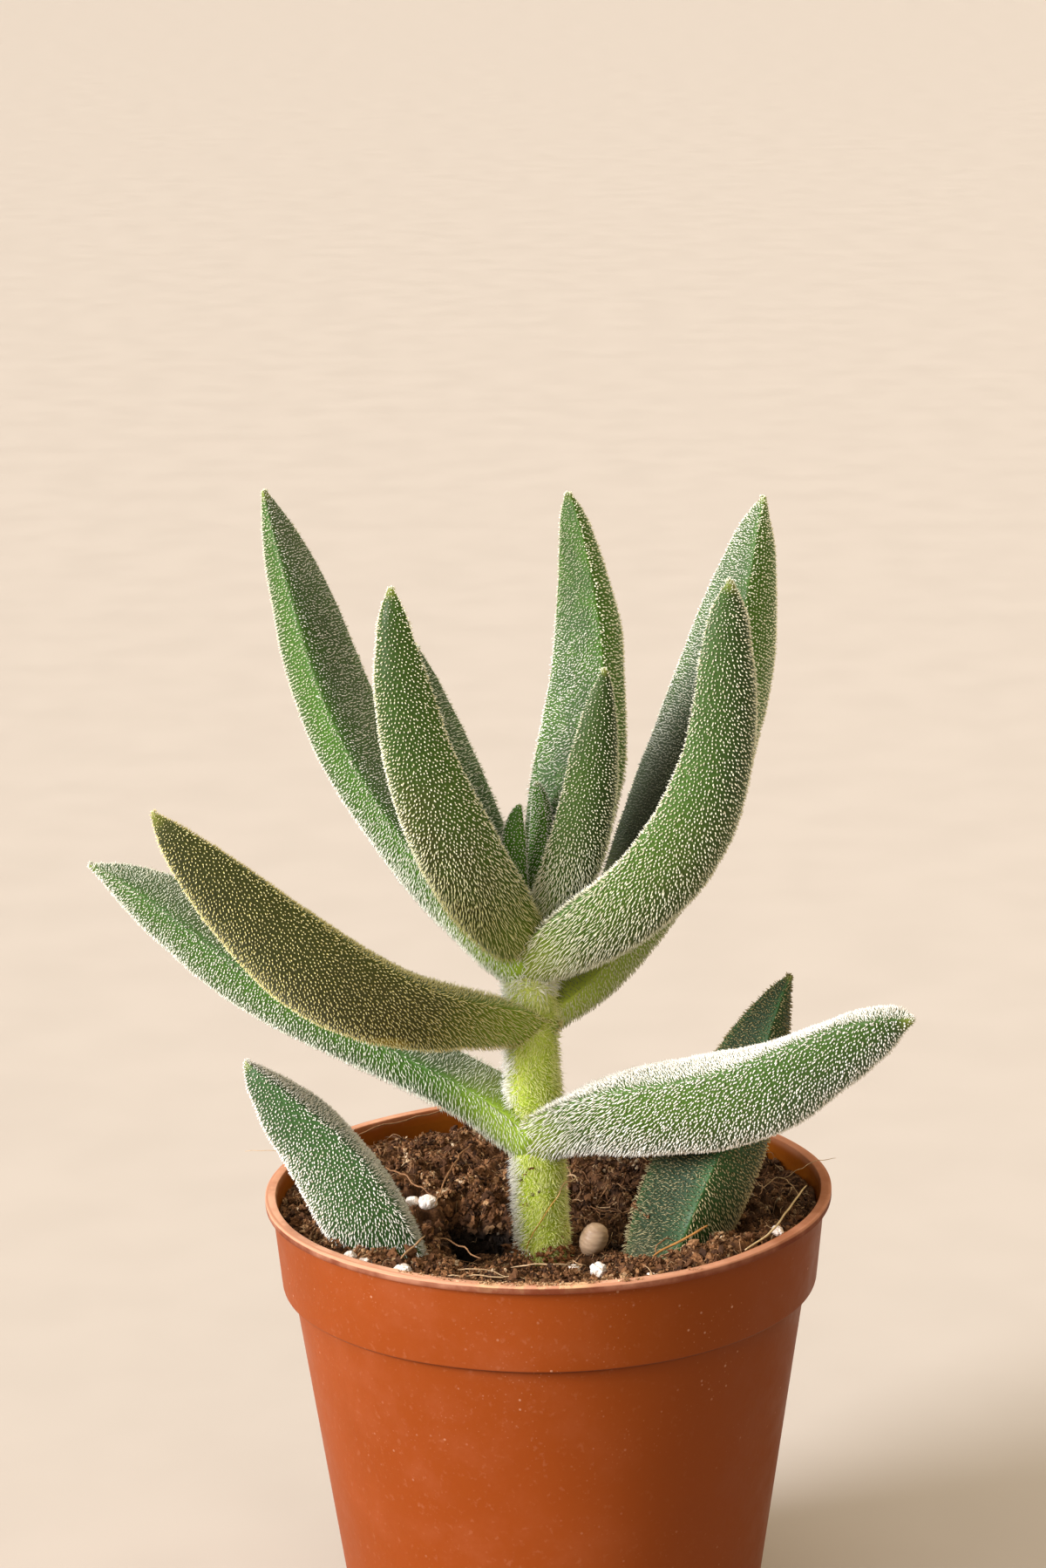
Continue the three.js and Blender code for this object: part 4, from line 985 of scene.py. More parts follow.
def make_stem():
    sides, zs = 72, np.linspace(36.6, 77.25, 150)
    th = np.arange(sides) / sides * 2 * math.pi
    Z, T = np.meshgrid(zs, th, indexing="ij")
    x, r = stem_radius(Z, T)
    p = np.stack([x + r * np.cos(T), STEM_Y + r * np.sin(T), Z], -1)
    n = len(zs)
    verts = np.concatenate([p.reshape(-1, 3), [p[0].mean(0), p[-1].mean(0)]])
    k, j = np.meshgrid(np.arange(n - 1), np.arange(sides), indexing="ij")
    k, j = k.ravel(), j.ravel()
    j1 = (j + 1) % sides
    quads = np.stack([k * sides + j, k * sides + j1, (k + 1) * sides + j1, (k + 1) * sides + j], 1)
    ua, ub, va, vb = j / sides, (j + 1) / sides, k / (n - 1), (k + 1) / (n - 1)
    uvq = np.stack([np.stack([ua, va], 1), np.stack([ub, va], 1), np.stack([ub, vb], 1), np.stack([ua, vb], 1)], 1)
    j = np.arange(sides)
    j1 = (j + 1) % sides
    first, last = n * sides, n * sides + 1
    tris = np.concatenate([
        np.stack([np.full(sides, first), j1, j], 1),
        np.stack([np.full(sides, last), (n - 1) * sides + j, (n - 1) * sides + j1], 1)])
    ua, ub = j / sides, (j + 1) / sides
    um, z, o = (ua + ub) / 2, np.zeros(sides), np.ones(sides)
    uvt = np.concatenate([
        np.stack([np.stack([um, z], 1), np.stack([ub, z], 1), np.stack([ua, z], 1)], 1),
        np.stack([np.stack([um, o], 1), np.stack([ua, o], 1), np.stack([ub, o], 1)], 1)])
    piece(new_mesh("stem_flesh", verts, quads, tris, uvq, uvt, stem_flesh()), "stem")

    rng = np.random.default_rng(5)
    spacing = 0.192 * 1
    rows = int((77 - 42.5) / spacing)
    Z, T = [], []
    for k in range(rows):
        z = 42.5 + (k + 0.5) * spacing
        n = int(2 * math.pi * 2.3 / spacing)
        T.append((np.arange(n) + 0.5 * (k % 2) + rng.normal(0, 0.25, n)) / n * 2 * math.pi)
        Z.append(np.full(n, z) + rng.normal(0, 0.25, n) * spacing)
    Z, T = np.clip(np.concatenate(Z), 42.4, 77.0), np.concatenate(T)
    x, r = stem_radius(Z, T)
    p = np.stack([x + r * np.cos(T), STEM_Y + r * np.sin(T), Z], -1)
    nrm = np.stack([np.cos(T), np.sin(T), np.zeros_like(T)], -1)
    keep = p[:, 2] > soil_top(p[:, 0], p[:, 1]) + 0.35
    for leaf in LEAVES.values():
        keep &= ~inside_leaf(leaf, p, 0.0, 0.25)
    p, nrm = p[keep], nrm[keep]
    n = len(p)
    wander = np.stack([vnoise(p, 1 / 1.6, 331 + i) for i in range(3)], 1)
    joint = np.zeros(n)
    for zn in STEM_NODES:
        joint = np.maximum(joint, np.exp(-(((p[:, 2] - zn - 0.8) / 1.5) ** 2)))
    joint = np.maximum(joint, smooth(66.5, 71.0, p[:, 2]) * 0.8)
    d = unit(nrm + np.array([0, 0, -0.22]) + 0.45 * wander + rng.normal(0, 0.3, (n, 3)))
    bend = unit(np.array([0, 0, -0.6]) + 1.0 * wander + rng.normal(0, 0.4, (n, 3))) * rng.uniform(0.1, 0.45, n)[:, None]
    ln = 0.6 * np.clip(rng.normal(1, 0.25, n), 0.45, 1.6) * (1 + 0.6 * joint)
    rd = 0.041 * np.clip(rng.normal(1, 0.15, n), 0.7, 1.4)
    # painted light: hairs whiter on the flank that faces the key light and at the top, yellower elsewhere
    pale = rng.uniform(0, 1, n) < np.maximum(smooth(-0.45, -0.9, nrm[:, 0]), 0.9 * smooth(68.0, 71.0, p[:, 2]))
    ln = ln * np.where(pale, 1.1, 0.92)
    rd = rd * np.where(pale, 1.22, 1.0)
    for name, some, material in (("stem_hairs", ~pale, STEM_HAIR), ("stem_hairs_painted_lit", pale, STEM_HAIR_PAINTED_LIT)):
        arrays = hair_arrays((p - nrm * 0.04)[some], d[some], bend[some], ln[some], rd[some], rng, steps=3, taper=(1.0, 0.85, 0.55))
        piece(new_mesh(name, *arrays, material), "stem")

    # dirt caught in the fuzz, and one fine root that lies up the front of the stem
    ico, faces = icosphere(1)
    bag = Bag()
    specks = [(-1.35, 52.3, 0.17, 0.12), (-1.95, 51.6, 0.13, 0.1), (-2.2, 50.9, 0.12, 0.12), (-1.83, 48.5, 0.12, 0.09), (0.55, 53.2, 0.2, 0.13),
              (0.86, 44.0, 0.17, 0.12), (0.5, 43.1, 0.16, 0.12), (0.96, 45.2, 0.12, 0.09), (1.15, 46.0, 0.08, 0.09),
              (-0.6, 46.4, 0.1, 0.09), (-0.4, 43.4, 0.14, 0.1), (1.3, 43.6, 0.12, 0.1), (-2.5, 43.5, 0.14, 0.1)]
    for q, (x, z, wide, deep) in enumerate(specks):
        cx, r = (float(v) for v in stem_at(np.array(z)))
        y = STEM_Y - math.sqrt(max(0.0, r * r - (x - cx) ** 2))
        out = np.array([x - cx, y - STEM_Y, 0.0]) / r
        for _ in range(rng.integers(2, 5)):
            g = ico * (1 + 0.5 * vnoise(ico, 1.9, 400 + q))[:, None] * [wide * rng.uniform(0.5, 1.1), wide * rng.uniform(0.25, 0.5), wide * rng.uniform(0.3, 0.7)]
            v = g @ random_rotation(rng).T + [x, y, z] + out * (0.5 + 0.3 * deep) + rng.normal(0, 0.11, 3) * [1.0, 0.3, 1.0]
            bag.add(v, None, faces, None, np.full((len(faces), 3, 2), 0.12) + rng.uniform(0, 0.4) + np.array([[0, 0], [0.003, 0], [0, 0.003]]))
    for q in range(420):
        # crumbs heaped round the foot
        a, z = rng.uniform(0, 2 * math.pi), 42.1 + 1.9 * rng.uniform() ** 1.6
        cx, r = (float(v) for v in stem_at(np.array(z)))
        wide = rng.uniform(0.1, 0.3)
        g = ico * (1 + 0.5 * vnoise(ico, 1.9, 430 + q))[:, None] * [wide, wide * rng.uniform(0.5, 0.9), wide * rng.uniform(0.4, 0.8)]
        r += 0.15 + 0.75 * rng.uniform() * (43.9 - z) / 1.8
        v = g @ random_rotation(rng).T + [cx + r * math.cos(a), STEM_Y + r * math.sin(a), z + float(soil_top(np.array(cx + r * math.cos(a)), np.array(STEM_Y + r * math.sin(a)))) - 42.3]
        bag.add(v, None, faces, None, np.full((len(faces), 3, 2), 0.1) + rng.uniform(0.15, 0.72) + np.array([[0, 0], [0.003, 0], [0, 0.003]]))
    piece(bag.mesh("stem_dirt", bits_material(), flat=True), "stem")
    bag = Bag()
    root = [(2.98, -4.4, 50.3), (2.73, -4.6, 50.29), (2.22, -5.0, 50.1), (1.7, -5.6, 50.27), (1.32, -6.15, 49.95), (1.1, -6.5, 49.4), (0.36, -7.05, 48.56),
            (-0.6, -7.22, 47.06), (-1.4, -7.13, 45.81), (-2.05, -6.84, 44.3), (-2.2, -6.9, 43.2)]
    run = spline(root, 60)
    run = run + np.stack([vnoise(run, 1 / 0.9, 461 + i) for i in range(3)], 1) * 0.04
    t = np.linspace(0, 1, 60)
    bag.add(*tube_arrays(run, 0.065 * (1 + 0.3 * smooth(0.35, 0.2, t)) * (1 - 0.6 * np.abs(2 * t - 1) ** 6), 6))
    piece(bag.mesh("stem_root_thread", thread_material()), "stem")


def bits_material():
    m = Mat("stem_dirt")
    u, v = m.uv()
    shade = m.noise(2600.0, 4, 0.65)
    col = m.ramp(u, [(0.0, srgb(74, 40, 14)), (0.3, srgb(108, 62, 28)), (0.5, srgb(138, 86, 46)), (0.7, srgb(170, 120, 78))])
    col = m.mix(m.remap(shade, 0.35, 0.7, 0.0, 0.5), col, srgb(52, 32, 18))
    return m.set(Base_Color=col, Roughness=m.remap(shade, 0.3, 0.7, 0.7, 0.95, "LINEAR"), Specular_IOR_Level=0.25, Normal=m.bump(shade, 0.8, 0.0002))


def thread_material():
    m = Mat("stem_root_thread")
    u, v = m.uv()
    grain = m.noise(1800.0, 3, 0.6)
    col = m.ramp(v, [(0.0, srgb(232, 204, 160)), (0.28, srgb(226, 192, 140)), (0.42, srgb(196, 150, 70)), (1.0, srgb(168, 122, 46))])
    col = m.mix(m.remap(grain, 0.35, 0.7, 0.0, 0.35), col, srgb(140, 98, 44))
    return m.set(Base_Color=col, Roughness=m.remap(grain, 0.3, 0.7, 0.5, 0.75, "LINEAR"), Specular_IOR_Level=0.35, Normal=m.bump(grain, 0.3, 0.00008))


def random_rotation(rng):
    q = unit(rng.normal(0, 1, 4))
    w, x, y, z = q
    return np.array([
        [1 - 2 * (y * y + z * z), 2 * (x * y - z * w), 2 * (x * z + y * w)],
        [2 * (x * y + z * w), 1 - 2 * (x * x + z * z), 2 * (y * z - x * w)],
        [2 * (x * z - y * w), 2 * (y * z + x * w), 1 - 2 * (x * x + y * y)]])


def spline(points, n):
    """A smooth run of n points through the given ones."""
    pts = np.array(points, float)
    t = np.concatenate([[0], np.cumsum(np.linalg.norm(np.diff(pts, axis=0), axis=1))])
    s = np.linspace(0, t[-1], n)
    return np.stack([through(t, pts[:, i], s) for i in range(3)], -1)


make_stem()


# ================================================================ pot
def pot_material():
    m = Mat("pot_plastic")
    p = m.coords()
    sep = m.node("ShaderNodeSeparateXYZ")
    m.put(sep.inputs[0], p)
    x, y, z = sep.outputs
    radial = m.math("SQRT", m.math("ADD", m.math("MULTIPLY", x, x), m.math("MULTIPLY", y, y)))
    broad = m.noise(38.0, 3, 0.5)
    film = m.noise(160.0, 5, 0.65)
    grain = m.noise(1500.0, 3, 0.6)
    col = m.mix(m.remap(broad, 0.35, 0.68), srgb(129, 57, 14), srgb(137, 62, 19))
    col = m.mix(m.remap(film, 0.44, 0.78, 0.0, 0.17), col, srgb(158, 92, 64))
    col = m.mix(m.remap(grain, 0.58, 0.72, 0.0, 0.16), col, srgb(168, 112, 84))
    # painted shade: darker and more orange towards the right-hand side (+x), standing for the shaded side lit by warm
    # bounce light
    col = m.mix(m.remap(x, -0.006, 0.02, 0.0, 0.85), col, srgb(118, 53, 0))
    # dust: pale specks of a few sizes, more of them on the collar than low down
    near = m.voronoi(760.0)
    far = m.voronoi(1900.0)
    where = m.remap(m.noise(120.0, 3, 0.6), 0.46, 0.62)
    high = m.remap(z, 0.020, 0.044, 0.25, 1.0)
    speck = m.math("MULTIPLY", m.math("MULTIPLY", m.remap(near, 0.13, 0.06), where), high)
    speck2 = m.math("MULTIPLY", m.math("MULTIPLY", m.remap(far, 0.17, 0.08), where), high)
    col = m.mix(m.math("MULTIPLY", speck, 0.6), col, srgb(196, 150, 122))
    col = m.mix(m.math("MULTIPLY", speck2, 0.3), col, srgb(190, 142, 112))
    # lip: paler on top, partly dust and partly a painted highlight that fades towards the right-hand side (+x)
    lip = m.math("MULTIPLY", m.remap(z, 0.0470, 0.0477), m.remap(radial, 0.0262, 0.0266))
    col = m.mix(m.math("MULTIPLY", lip, m.math("MULTIPLY", m.remap(film, 0.35, 0.65, 0.55, 1.0), m.remap(x, 0.024, 0.006, 0.4, 1.0))), col, srgb(230, 174, 142))
    # straw-coloured dust caked on the front of the lip
    cake = m.math("MULTIPLY", m.remap(m.noise(700.0, 4, 0.7), 0.47, 0.56), m.math("MULTIPLY", m.remap(x, -0.0072, -0.0058), m.remap(x, 0.0045, 0.0025)))
    cake = m.math("MULTIPLY", cake, m.remap(y, -0.020, -0.022))
    col = m.mix(m.math("MULTIPLY", cake, lip), col, srgb(226, 184, 140))
    # painted shade: the outer face of the lip darker red
    skirt = m.math("MULTIPLY", m.remap(radial, 0.02705, 0.0272), m.remap(z, 0.04785, 0.0477))
    col = m.mix(m.math("MULTIPLY", skirt, m.remap(film, 0.3, 0.7, 0.95, 0.65)), col, srgb(98, 42, 21))
    # painted highlight: a pale line along the outer edge of the lip
    painted_edge_highlight = m.math("MULTIPLY", m.remap(radial, 0.02715, 0.02735), m.remap(z, 0.04775, 0.0479))
    col = m.mix(m.math("MULTIPLY", painted_edge_highlight, m.remap(film, 0.35, 0.6, 0.2, 0.9)), col, srgb(186, 130, 102))
    # painted shade: a dark line in the corner under the collar step
    painted_collar_shade = m.math("MULTIPLY", m.remap(z, 0.03835, 0.0389), m.remap(z, 0.03915, 0.0390))
    painted_collar_shade = m.math("MULTIPLY", painted_collar_shade, m.remap(radial, 0.0247, 0.0248))
    col = m.mix(m.math("MULTIPLY", painted_collar_shade, 0.75), col, srgb(52, 20, 6))
    # soil stains on the inner wall
    middle = m.math("ADD", m.math("MULTIPLY", m.math("SUBTRACT", z, 0.039), 0.0889), 0.02575)  # halfway through the wall
    inner = m.math("MULTIPLY", m.math("LESS_THAN", radial, middle), m.remap(z, 0.0400, 0.0402))
    stain = m.remap(m.math("ADD", z, m.math("MULTIPLY", film, 0.004)), 0.0503, 0.0480, 0.25, 1.0)
    col = m.mix(m.math("MULTIPLY", inner, stain), col, srgb(136, 74, 16))
    rough = m.remap(film, 0.3, 0.75, 0.36, 0.58, "LINEAR")
    rough = m.math("ADD", rough, m.math("MULTIPLY", speck2, 0.25))
    rough = m.math("MAXIMUM", rough, m.math("MULTIPLY", m.remap(z, 0.0468, 0.0473), 0.62))
    height = m.math("ADD", m.math("MULTIPLY", grain, 0.5), m.math("MULTIPLY", speck, 0.6))
    return m.set(
        Base_Color=col, Roughness=rough, Specular_IOR_Level=0.09,
        Subsurface_Weight=0.06, Subsurface_Radius=(1.0, 0.35, 0.12), Subsurface_Scale=0.0016,
        Normal=m.bump(height, 0.35, 0.00008))


def rounded(profile, radius, steps=4):
    """A closed profile with each corner rounded to its own radius."""
    out = []
    n = len(profile)
    for i in range(n):
        p0, p, p1 = (np.array(profile[(i + d) % n], float) for d in (-1, 0, 1))
        r = radius[i]
        if r <= 0:
            out.append(tuple(p))
            continue
        a, b = unit(p0 - p), unit(p1 - p)
        half = math.acos(max(-1, min(1, float(a @ b)))) / 2
        cut = min(r / math.tan(half), 0.45 * np.linalg.norm(p0 - p), 0.45 * np.linalg.norm(p1 - p))
        A, B = p + a * cut, p + b * cut
        for k in range(steps + 1):
            t = k / steps
            out.append(tuple((1 - t) ** 2 * A + 2 * t * (1 - t) * p + t * t * B))
    return out


def make_pot():
    body_in = BODY_BASE_R - WALL + 0.1
    corners = [
        ((BODY_BASE_R - 2.4, 0.45), 0.2), ((BODY_BASE_R - 2.0, 0.0), 0.25), ((BODY_BASE_R, 0.0), 0.9), ((BODY_TOP_R, STEP_Z - 0.25), 0.25),
        ((COLLAR_BOTTOM_R, STEP_Z), 0.38), ((COLLAR_TOP_R, POT_HEIGHT - LIP_THICK - 0.1), 0.3), ((LIP_R, POT_HEIGHT - LIP_THICK), 0.12),
        ((LIP_R, POT_HEIGHT), 0.16), ((LIP_INNER_R - 0.12, POT_HEIGHT), 0.12), ((COLLAR_TOP_R - WALL, POT_HEIGHT - 1.3), 0.4),
        ((COLLAR_BOTTOM_R - WALL, STEP_Z + 0.6), 0.3), ((BODY_TOP_R - WALL, STEP_Z - 0.1), 0.3), ((body_in, FLOOR), 0.8),
        ((BODY_BASE_R - 4.0, FLOOR), 0.0), ((0.0, FLOOR), 0.0), ((0.0, 0.45), 0.0),
    ]
    # the flat floor carries the drain holes, so the turned wall stops at a circle and the floor is made round the holes
    edge_top, edge_bottom = BODY_BASE_R - 4.0, BODY_BASE_R - 4.0
    wall = corners[:13] + [((edge_top, FLOOR), 0.0), ((edge_bottom, 0.45), 0.0)]
    prof = rounded([c for c, _ in wall], [r for _, r in wall])
    # long straight runs are cut into short ones, so that the wall can wander a little
    fine = []
    for i in range(len(prof)):
        a, b = np.array(prof[i]), np.array(prof[(i + 1) % len(prof)])
        if i == len(prof) - 1:
            fine.append(tuple(a))
            break
        steps = max(1, int(np.linalg.norm(b - a) / 1.2))
        for k in range(steps):
            fine.append(tuple(a + (b - a) * k / steps))
    prof = np.array(fine)
    m, n = len(prof), 288
    th = np.arange(n) / n * 2 * math.pi
    R, TH = np.meshgrid(prof[:, 0], th, indexing="ij")
    Z = np.repeat(prof[:, 1][:, None], n, 1)
    # the thin moulded wall is never quite round, and its lip waves a little
    grip = smooth(8, 46, Z)
    R = R + grip * (0.07 * np.sin(2 * TH + 0.6) + 0.035 * np.sin(5 * TH + 1.9) + 0.02 * np.sin(11 * TH)) * (R > 19)
    Z = Z + smooth(46.0, 48.0, Z) * (0.05 * np.sin(3 * TH + 2.1) + 0.03 * np.sin(8 * TH + 0.4))
    p = np.stack([R * np.cos(TH), R * np.sin(TH), Z], -1)
    verts = list(p.reshape(-1, 3))
    k, j = np.meshgrid(np.arange(m - 1), np.arange(n), indexing="ij")
    k, j = k.ravel(), j.ravel()
    j1 = (j + 1) % n
    quads = np.stack([k * n + j, k * n + j1, (k + 1) * n + j1, (k + 1) * n + j], 1)
    # floor: rings of the top and bottom outlines with five round holes, triangulated by constrained Delaunay
    from mathutils.geometry import delaunay_2d_cdt
    holes = [(12.5 * math.cos(i / 5 * 2 * math.pi + 0.3), 12.5 * math.sin(i / 5 * 2 * math.pi + 0.3)) for i in range(5)]
    hs = 40
    tris = []

    def floor(z, ring_first, flip):
        pts = [Vector((float(verts[ring_first + i][0]), float(verts[ring_first + i][1]))) for i in range(n)]
        loops = [list(range(n))]
        for hx, hy in holes:
            first = len(pts)
            pts += [Vector((hx + 1.7 * math.cos(i / hs * 2 * math.pi), hy + 1.7 * math.sin(i / hs * 2 * math.pi))) for i in range(hs)]
            loops.append(list(range(first, first + hs)))
        edges = [(lp[i], lp[(i + 1) % len(lp)]) for lp in loops for i in range(len(lp))]
        out = delaunay_2d_cdt(pts, edges, [], 1, 1e-5)
        co, faces, orig = out[0], out[2], out[3]
        base = {}
        for i, c in enumerate(co):
            src = orig[i][0] if orig[i] else -1
            if 0 <= src < n:
                base[i] = ring_first + src
            else:
                base[i] = len(verts)
                verts.append(np.array([c.x, c.y, z]))
            if src >= n:
                hole_index[(flip, src - n)] = base[i]
        for f in faces:
            c = sum((co[i] for i in f), Vector((0, 0))) / len(f)
            if any((c.x - hx) ** 2 + (c.y - hy) ** 2 < 1.69**2 for hx, hy in holes):
                continue
            f = [base[i] for i in f]
            for q in range(1, len(f) - 1):
                tri = (f[0], f[q], f[q + 1])
                tris.append(tri[::-1] if flip else tri)

    hole_index = {}
    top_ring, bottom_ring = (m - 2) * n, (m - 1) * n
    quads = quads[k < m - 2]  # the last run would close the floor's edge: it is left open, the floor plates close it
    floor(FLOOR, top_ring, False)
    floor(0.45, bottom_ring, True)
    # bottom ring joins the foot's first ring
    jj = np.arange(n)
    jj1 = (jj + 1) % n
    quads = np.concatenate([quads, np.stack([bottom_ring + jj, bottom_ring + jj1, jj1, jj], 1)])
    hq = []
    for h in range(5):
        for i in range(hs):
            a, b = h * hs + i, h * hs + (i + 1) % hs
            hq.append((hole_index[(False, a)], hole_index[(False, b)], hole_index[(True, b)], hole_index[(True, a)]))
    quads = np.concatenate([quads, np.array(hq)])
    ob = new_mesh("pot_shell", np.array(verts), quads, np.array(tris), None, None, pot_material())
    return piece(ob, "pot")


make_pot()


# ================================================================ soil
def soil_material(name="soil_body", bits=False):
    m = Mat(name)
    if bits:
        u, v = m.uv()
        pick = u
    else:
        pick = m.noise(900.0, 5, 0.7)
    shade = m.noise(2600.0, 4, 0.65)
    if bits:
        col = m.ramp(pick, [
            (0.0, srgb(48, 29, 16)), (0.2, srgb(78, 49, 28)), (0.42, srgb(112, 74, 44)), (0.62, srgb(142, 98, 62)),
            (0.8, srgb(170, 128, 88)), (0.92, srgb(200, 164, 124)), (1.0, srgb(226, 204, 172))])
    else:
        col = m.ramp(pick, [(0.3, srgb(44, 27, 15)), (0.47, srgb(82, 52, 29)), (0.6, srgb(124, 84, 50)), (0.74, srgb(164, 120, 80))])
    col = m.mix(m.remap(shade, 0.35, 0.7, 0.0, 0.5), col, srgb(62, 38, 21))
    deep = m.node("ShaderNodeSeparateXYZ")
    m.put(deep.inputs[0], m.coords())
    # painted shadow: the soil right of the stem and behind the front darker, where the leaves above shade it
    painted_leaf_shadow = m.math("MULTIPLY", m.remap(deep.outputs[0], 0.0005, 0.006), m.remap(deep.outputs[1], -0.010, -0.003))
    col = m.mix(m.math("MULTIPLY", painted_leaf_shadow, 0.42), col, srgb(34, 20, 11))
    # painted shade: the soil low in the hollow darkened to near black
    col = m.mix(m.remap(deep.outputs[2], 0.0435, 0.0409, 0.0, 0.95), col, srgb(12, 6, 2))
    return m.set(
        Base_Color=col, Roughness=m.remap(shade, 0.3, 0.7, 0.72, 0.95, "LINEAR"), Specular_IOR_Level=0.25,
        Normal=m.bump(shade, 0.9, 0.00022))


def make_soil():
    n, m = 500, 185
    th = np.arange(n) / n * 2 * math.pi
    rim = float(pot_inner(np.array(46.8))) - 0.04
    f = np.linspace(1, 0.004, m)
    F, TH = np.meshgrid(f, th, indexing="ij")
    X, Y = rim * F * np.cos(TH), rim * F * np.sin(TH)
    Z = soil_surface(X, Y)
    lower = []
    for z in (FLOOR + 0.05, 20.0, STEP_Z - 0.5, STEP_Z + 1.2, 43.0):
        r = float(pot_inner(np.array(z))) - 0.05
        lower.append(np.stack([r * np.cos(th), r * np.sin(th), np.full(n, z)], -1))
    rings = np.concatenate([np.array(lower), np.stack([X, Y, Z], -1)])
    k0 = len(rings)
    verts = np.concatenate([rings.reshape(-1, 3), [[0, 0, FLOOR + 0.05], [0, 0, float(Z[-1].mean())]]])
    k, j = np.meshgrid(np.arange(k0 - 1), np.arange(n), indexing="ij")
    k, j = k.ravel(), j.ravel()
    j1 = (j + 1) % n
    quads = np.stack([k * n + j, k * n + j1, (k + 1) * n + j1, (k + 1) * n + j], 1)
    j = np.arange(n)
    j1 = (j + 1) % n
    tris = np.concatenate([
        np.stack([np.full(n, k0 * n), j1, j], 1),
        np.stack([np.full(n, k0 * n + 1), (k0 - 1) * n + j, (k0 - 1) * n + j1], 1)])
    # the steep sides of the hollow are rough too
    steep = smooth(0.35, 1.2, np.sqrt(((verts[:, 0] + 7.2) / 4.4) ** 2 + ((verts[:, 1] - 0.9) / 5.0) ** 2)) * smooth(1.5, 1.2, np.sqrt(((verts[:, 0] + 7.2) / 4.4) ** 2 + ((verts[:, 1] - 0.9) / 5.0) ** 2))
    steep = steep * (verts[:, 2] > 34)
    q = verts * [1.0, 1.0, 1.6]
    verts[:, 0] += 0.22 * vnoise(q, 1 / 0.8, 161) * steep
    verts[:, 1] += 0.22 * vnoise(q, 1 / 0.8, 162) * steep
    piece(new_mesh("soil_body", verts, quads, tris, None, None, soil_material()), "soil")

    # crumbs: many small uneven bodies, half sunk
    bits_mat = soil_material("soil_bits", bits=True)
    rng = np.random.default_rng(11)
    shapes = []
    for level in (0, 1, 2):
        v, t = icosphere(level)
        rows = []
        for q in range(14):
            g = v * (1 + 0.6 * fbm(v, 1.7, 2, 500 + 9 * q)[:, None] + 0.3 * vnoise(v, 4.2, 700 + q)[:, None])
            rows.append(g)
        shapes.append((rows, t))

    def scatter(name, count, low, high, level, lift, power=1.0, where=None, tone=(1.7, 2.2), chip=0.35):
        bag = Bag()
        rows, t = shapes[level]
        made = 0
        while made < count:
            k = 4096
            if where is None:
                r, a = 26.05 * np.sqrt(rng.uniform(0, 1, k)), rng.uniform(0, 2 * math.pi, k)
                x, y = r * np.cos(a), r * np.sin(a)
            else:
                x, y = where(k)
            size = low * (high / low) ** (rng.uniform(0, 1, k) ** power)
            z = soil_surface(x, y) + size * lift * rng.uniform(0.1, 1.0, k)
            pts = np.stack([x, y, z], -1)
            ok = (np.hypot(x, y) + size < 26.15) & ~inside_stem(pts, 0.1)
            for nm in ("leaf_soil_left", "leaf_soil_right"):
                ok &= ~inside_leaf(LEAVES[nm], pts, 0.0)
            for gx, gy, gz, hx, hy, hz in SEATS:
                dx, dy = x - gx, y - gy
                ok &= dx**2 + (dy / np.where(dy < 0, 1.9, 1.0)) ** 2 > (max(hx, hy) + 0.6 * size) ** 2
            for i in np.where(ok)[0]:
                if made >= count:
                    break
                q = rng.integers(0, len(rows))
                rot = random_rotation(rng)
                sc = size[i] * np.array([1.0, rng.uniform(chip + 0.15, 1.0), rng.uniform(chip, 0.85)])
                v = (rows[q] * sc) @ rot.T + pts[i]
                uvt = np.empty((len(t), 3, 2))
                uvt[..., 0] = rng.beta(*tone) * 0.98
                uvt[..., 1] = rng.uniform(0.05, 0.95)
                uvt[:, 1, 0] += 0.003
                uvt[:, 2, 1] += 0.003
                bag.add(v, None, t, None, uvt)
                made += 1
        piece(bag.mesh(name, bits_mat, flat=True), "soil")

    few = 1.0

    def clods(name, count, grains, low, high):
        """Loose clods: each a heap of small sharp granules packed into an uneven ball shape."""
        bag = Bag()
        rows, t = shapes[0]
        made = 0
        while made < count:
            r, a = 26.0 * math.sqrt(rng.uniform()), rng.uniform(0, 2 * math.pi)
            x, y = r * math.cos(a), r * math.sin(a)
            size = low * (high / low) ** (rng.uniform() ** 1.5)
            at = np.array([[x, y, float(soil_surface(np.array([x]), np.array([y]))[0]) + 0.1 * size]])
            if r + size > 26.1 or inside_stem(at, 0.4 * size)[0] or any(inside_leaf(LEAVES[nm], at, 0.1)[0] for nm in ("leaf_soil_left", "leaf_soil_right")):
                continue
            if any((x - gx) ** 2 + ((y - gy) / (2.2 if y < gy else 1.0)) ** 2 < (max(hx, hy) + 1.1 * size) ** 2 for gx, gy, gz, hx, hy, hz in SEATS):
                continue
            tone = rng.beta(1.5, 2.2)
            squash = np.array([rng.uniform(0.7, 1.1), rng.uniform(0.7, 1.1), rng.uniform(0.5, 0.85)])
            k = int(grains * (size / 0.8) ** 1.4) + 4
            d = unit(rng.normal(0, 1, (k, 3)))
            d[:, 2] = np.abs(d[:, 2]) * 1.0 - 0.25
            pos = at + d * squash * size * rng.uniform(0.55, 1.0, (k, 1))
            for i in range(k):
                g = rng.uniform(0.1, 0.27) * (0.7 + 0.5 * size)
                sc = g * np.array([1.0, rng.uniform(0.45, 1.0), rng.uniform(0.35, 0.85)])
                v = (rows[rng.integers(0, len(rows))] * sc) @ random_rotation(rng).T + pos[i]
                uvt = np.empty((len(t), 3, 2))
                uvt[..., 0] = np.clip(tone + rng.normal(0, 0.2), 0.0, 0.98)
                uvt[..., 1] = rng.uniform(0.05, 0.95)
                uvt[:, 1, 0] += 0.003
                uvt[:, 2, 1] += 0.003
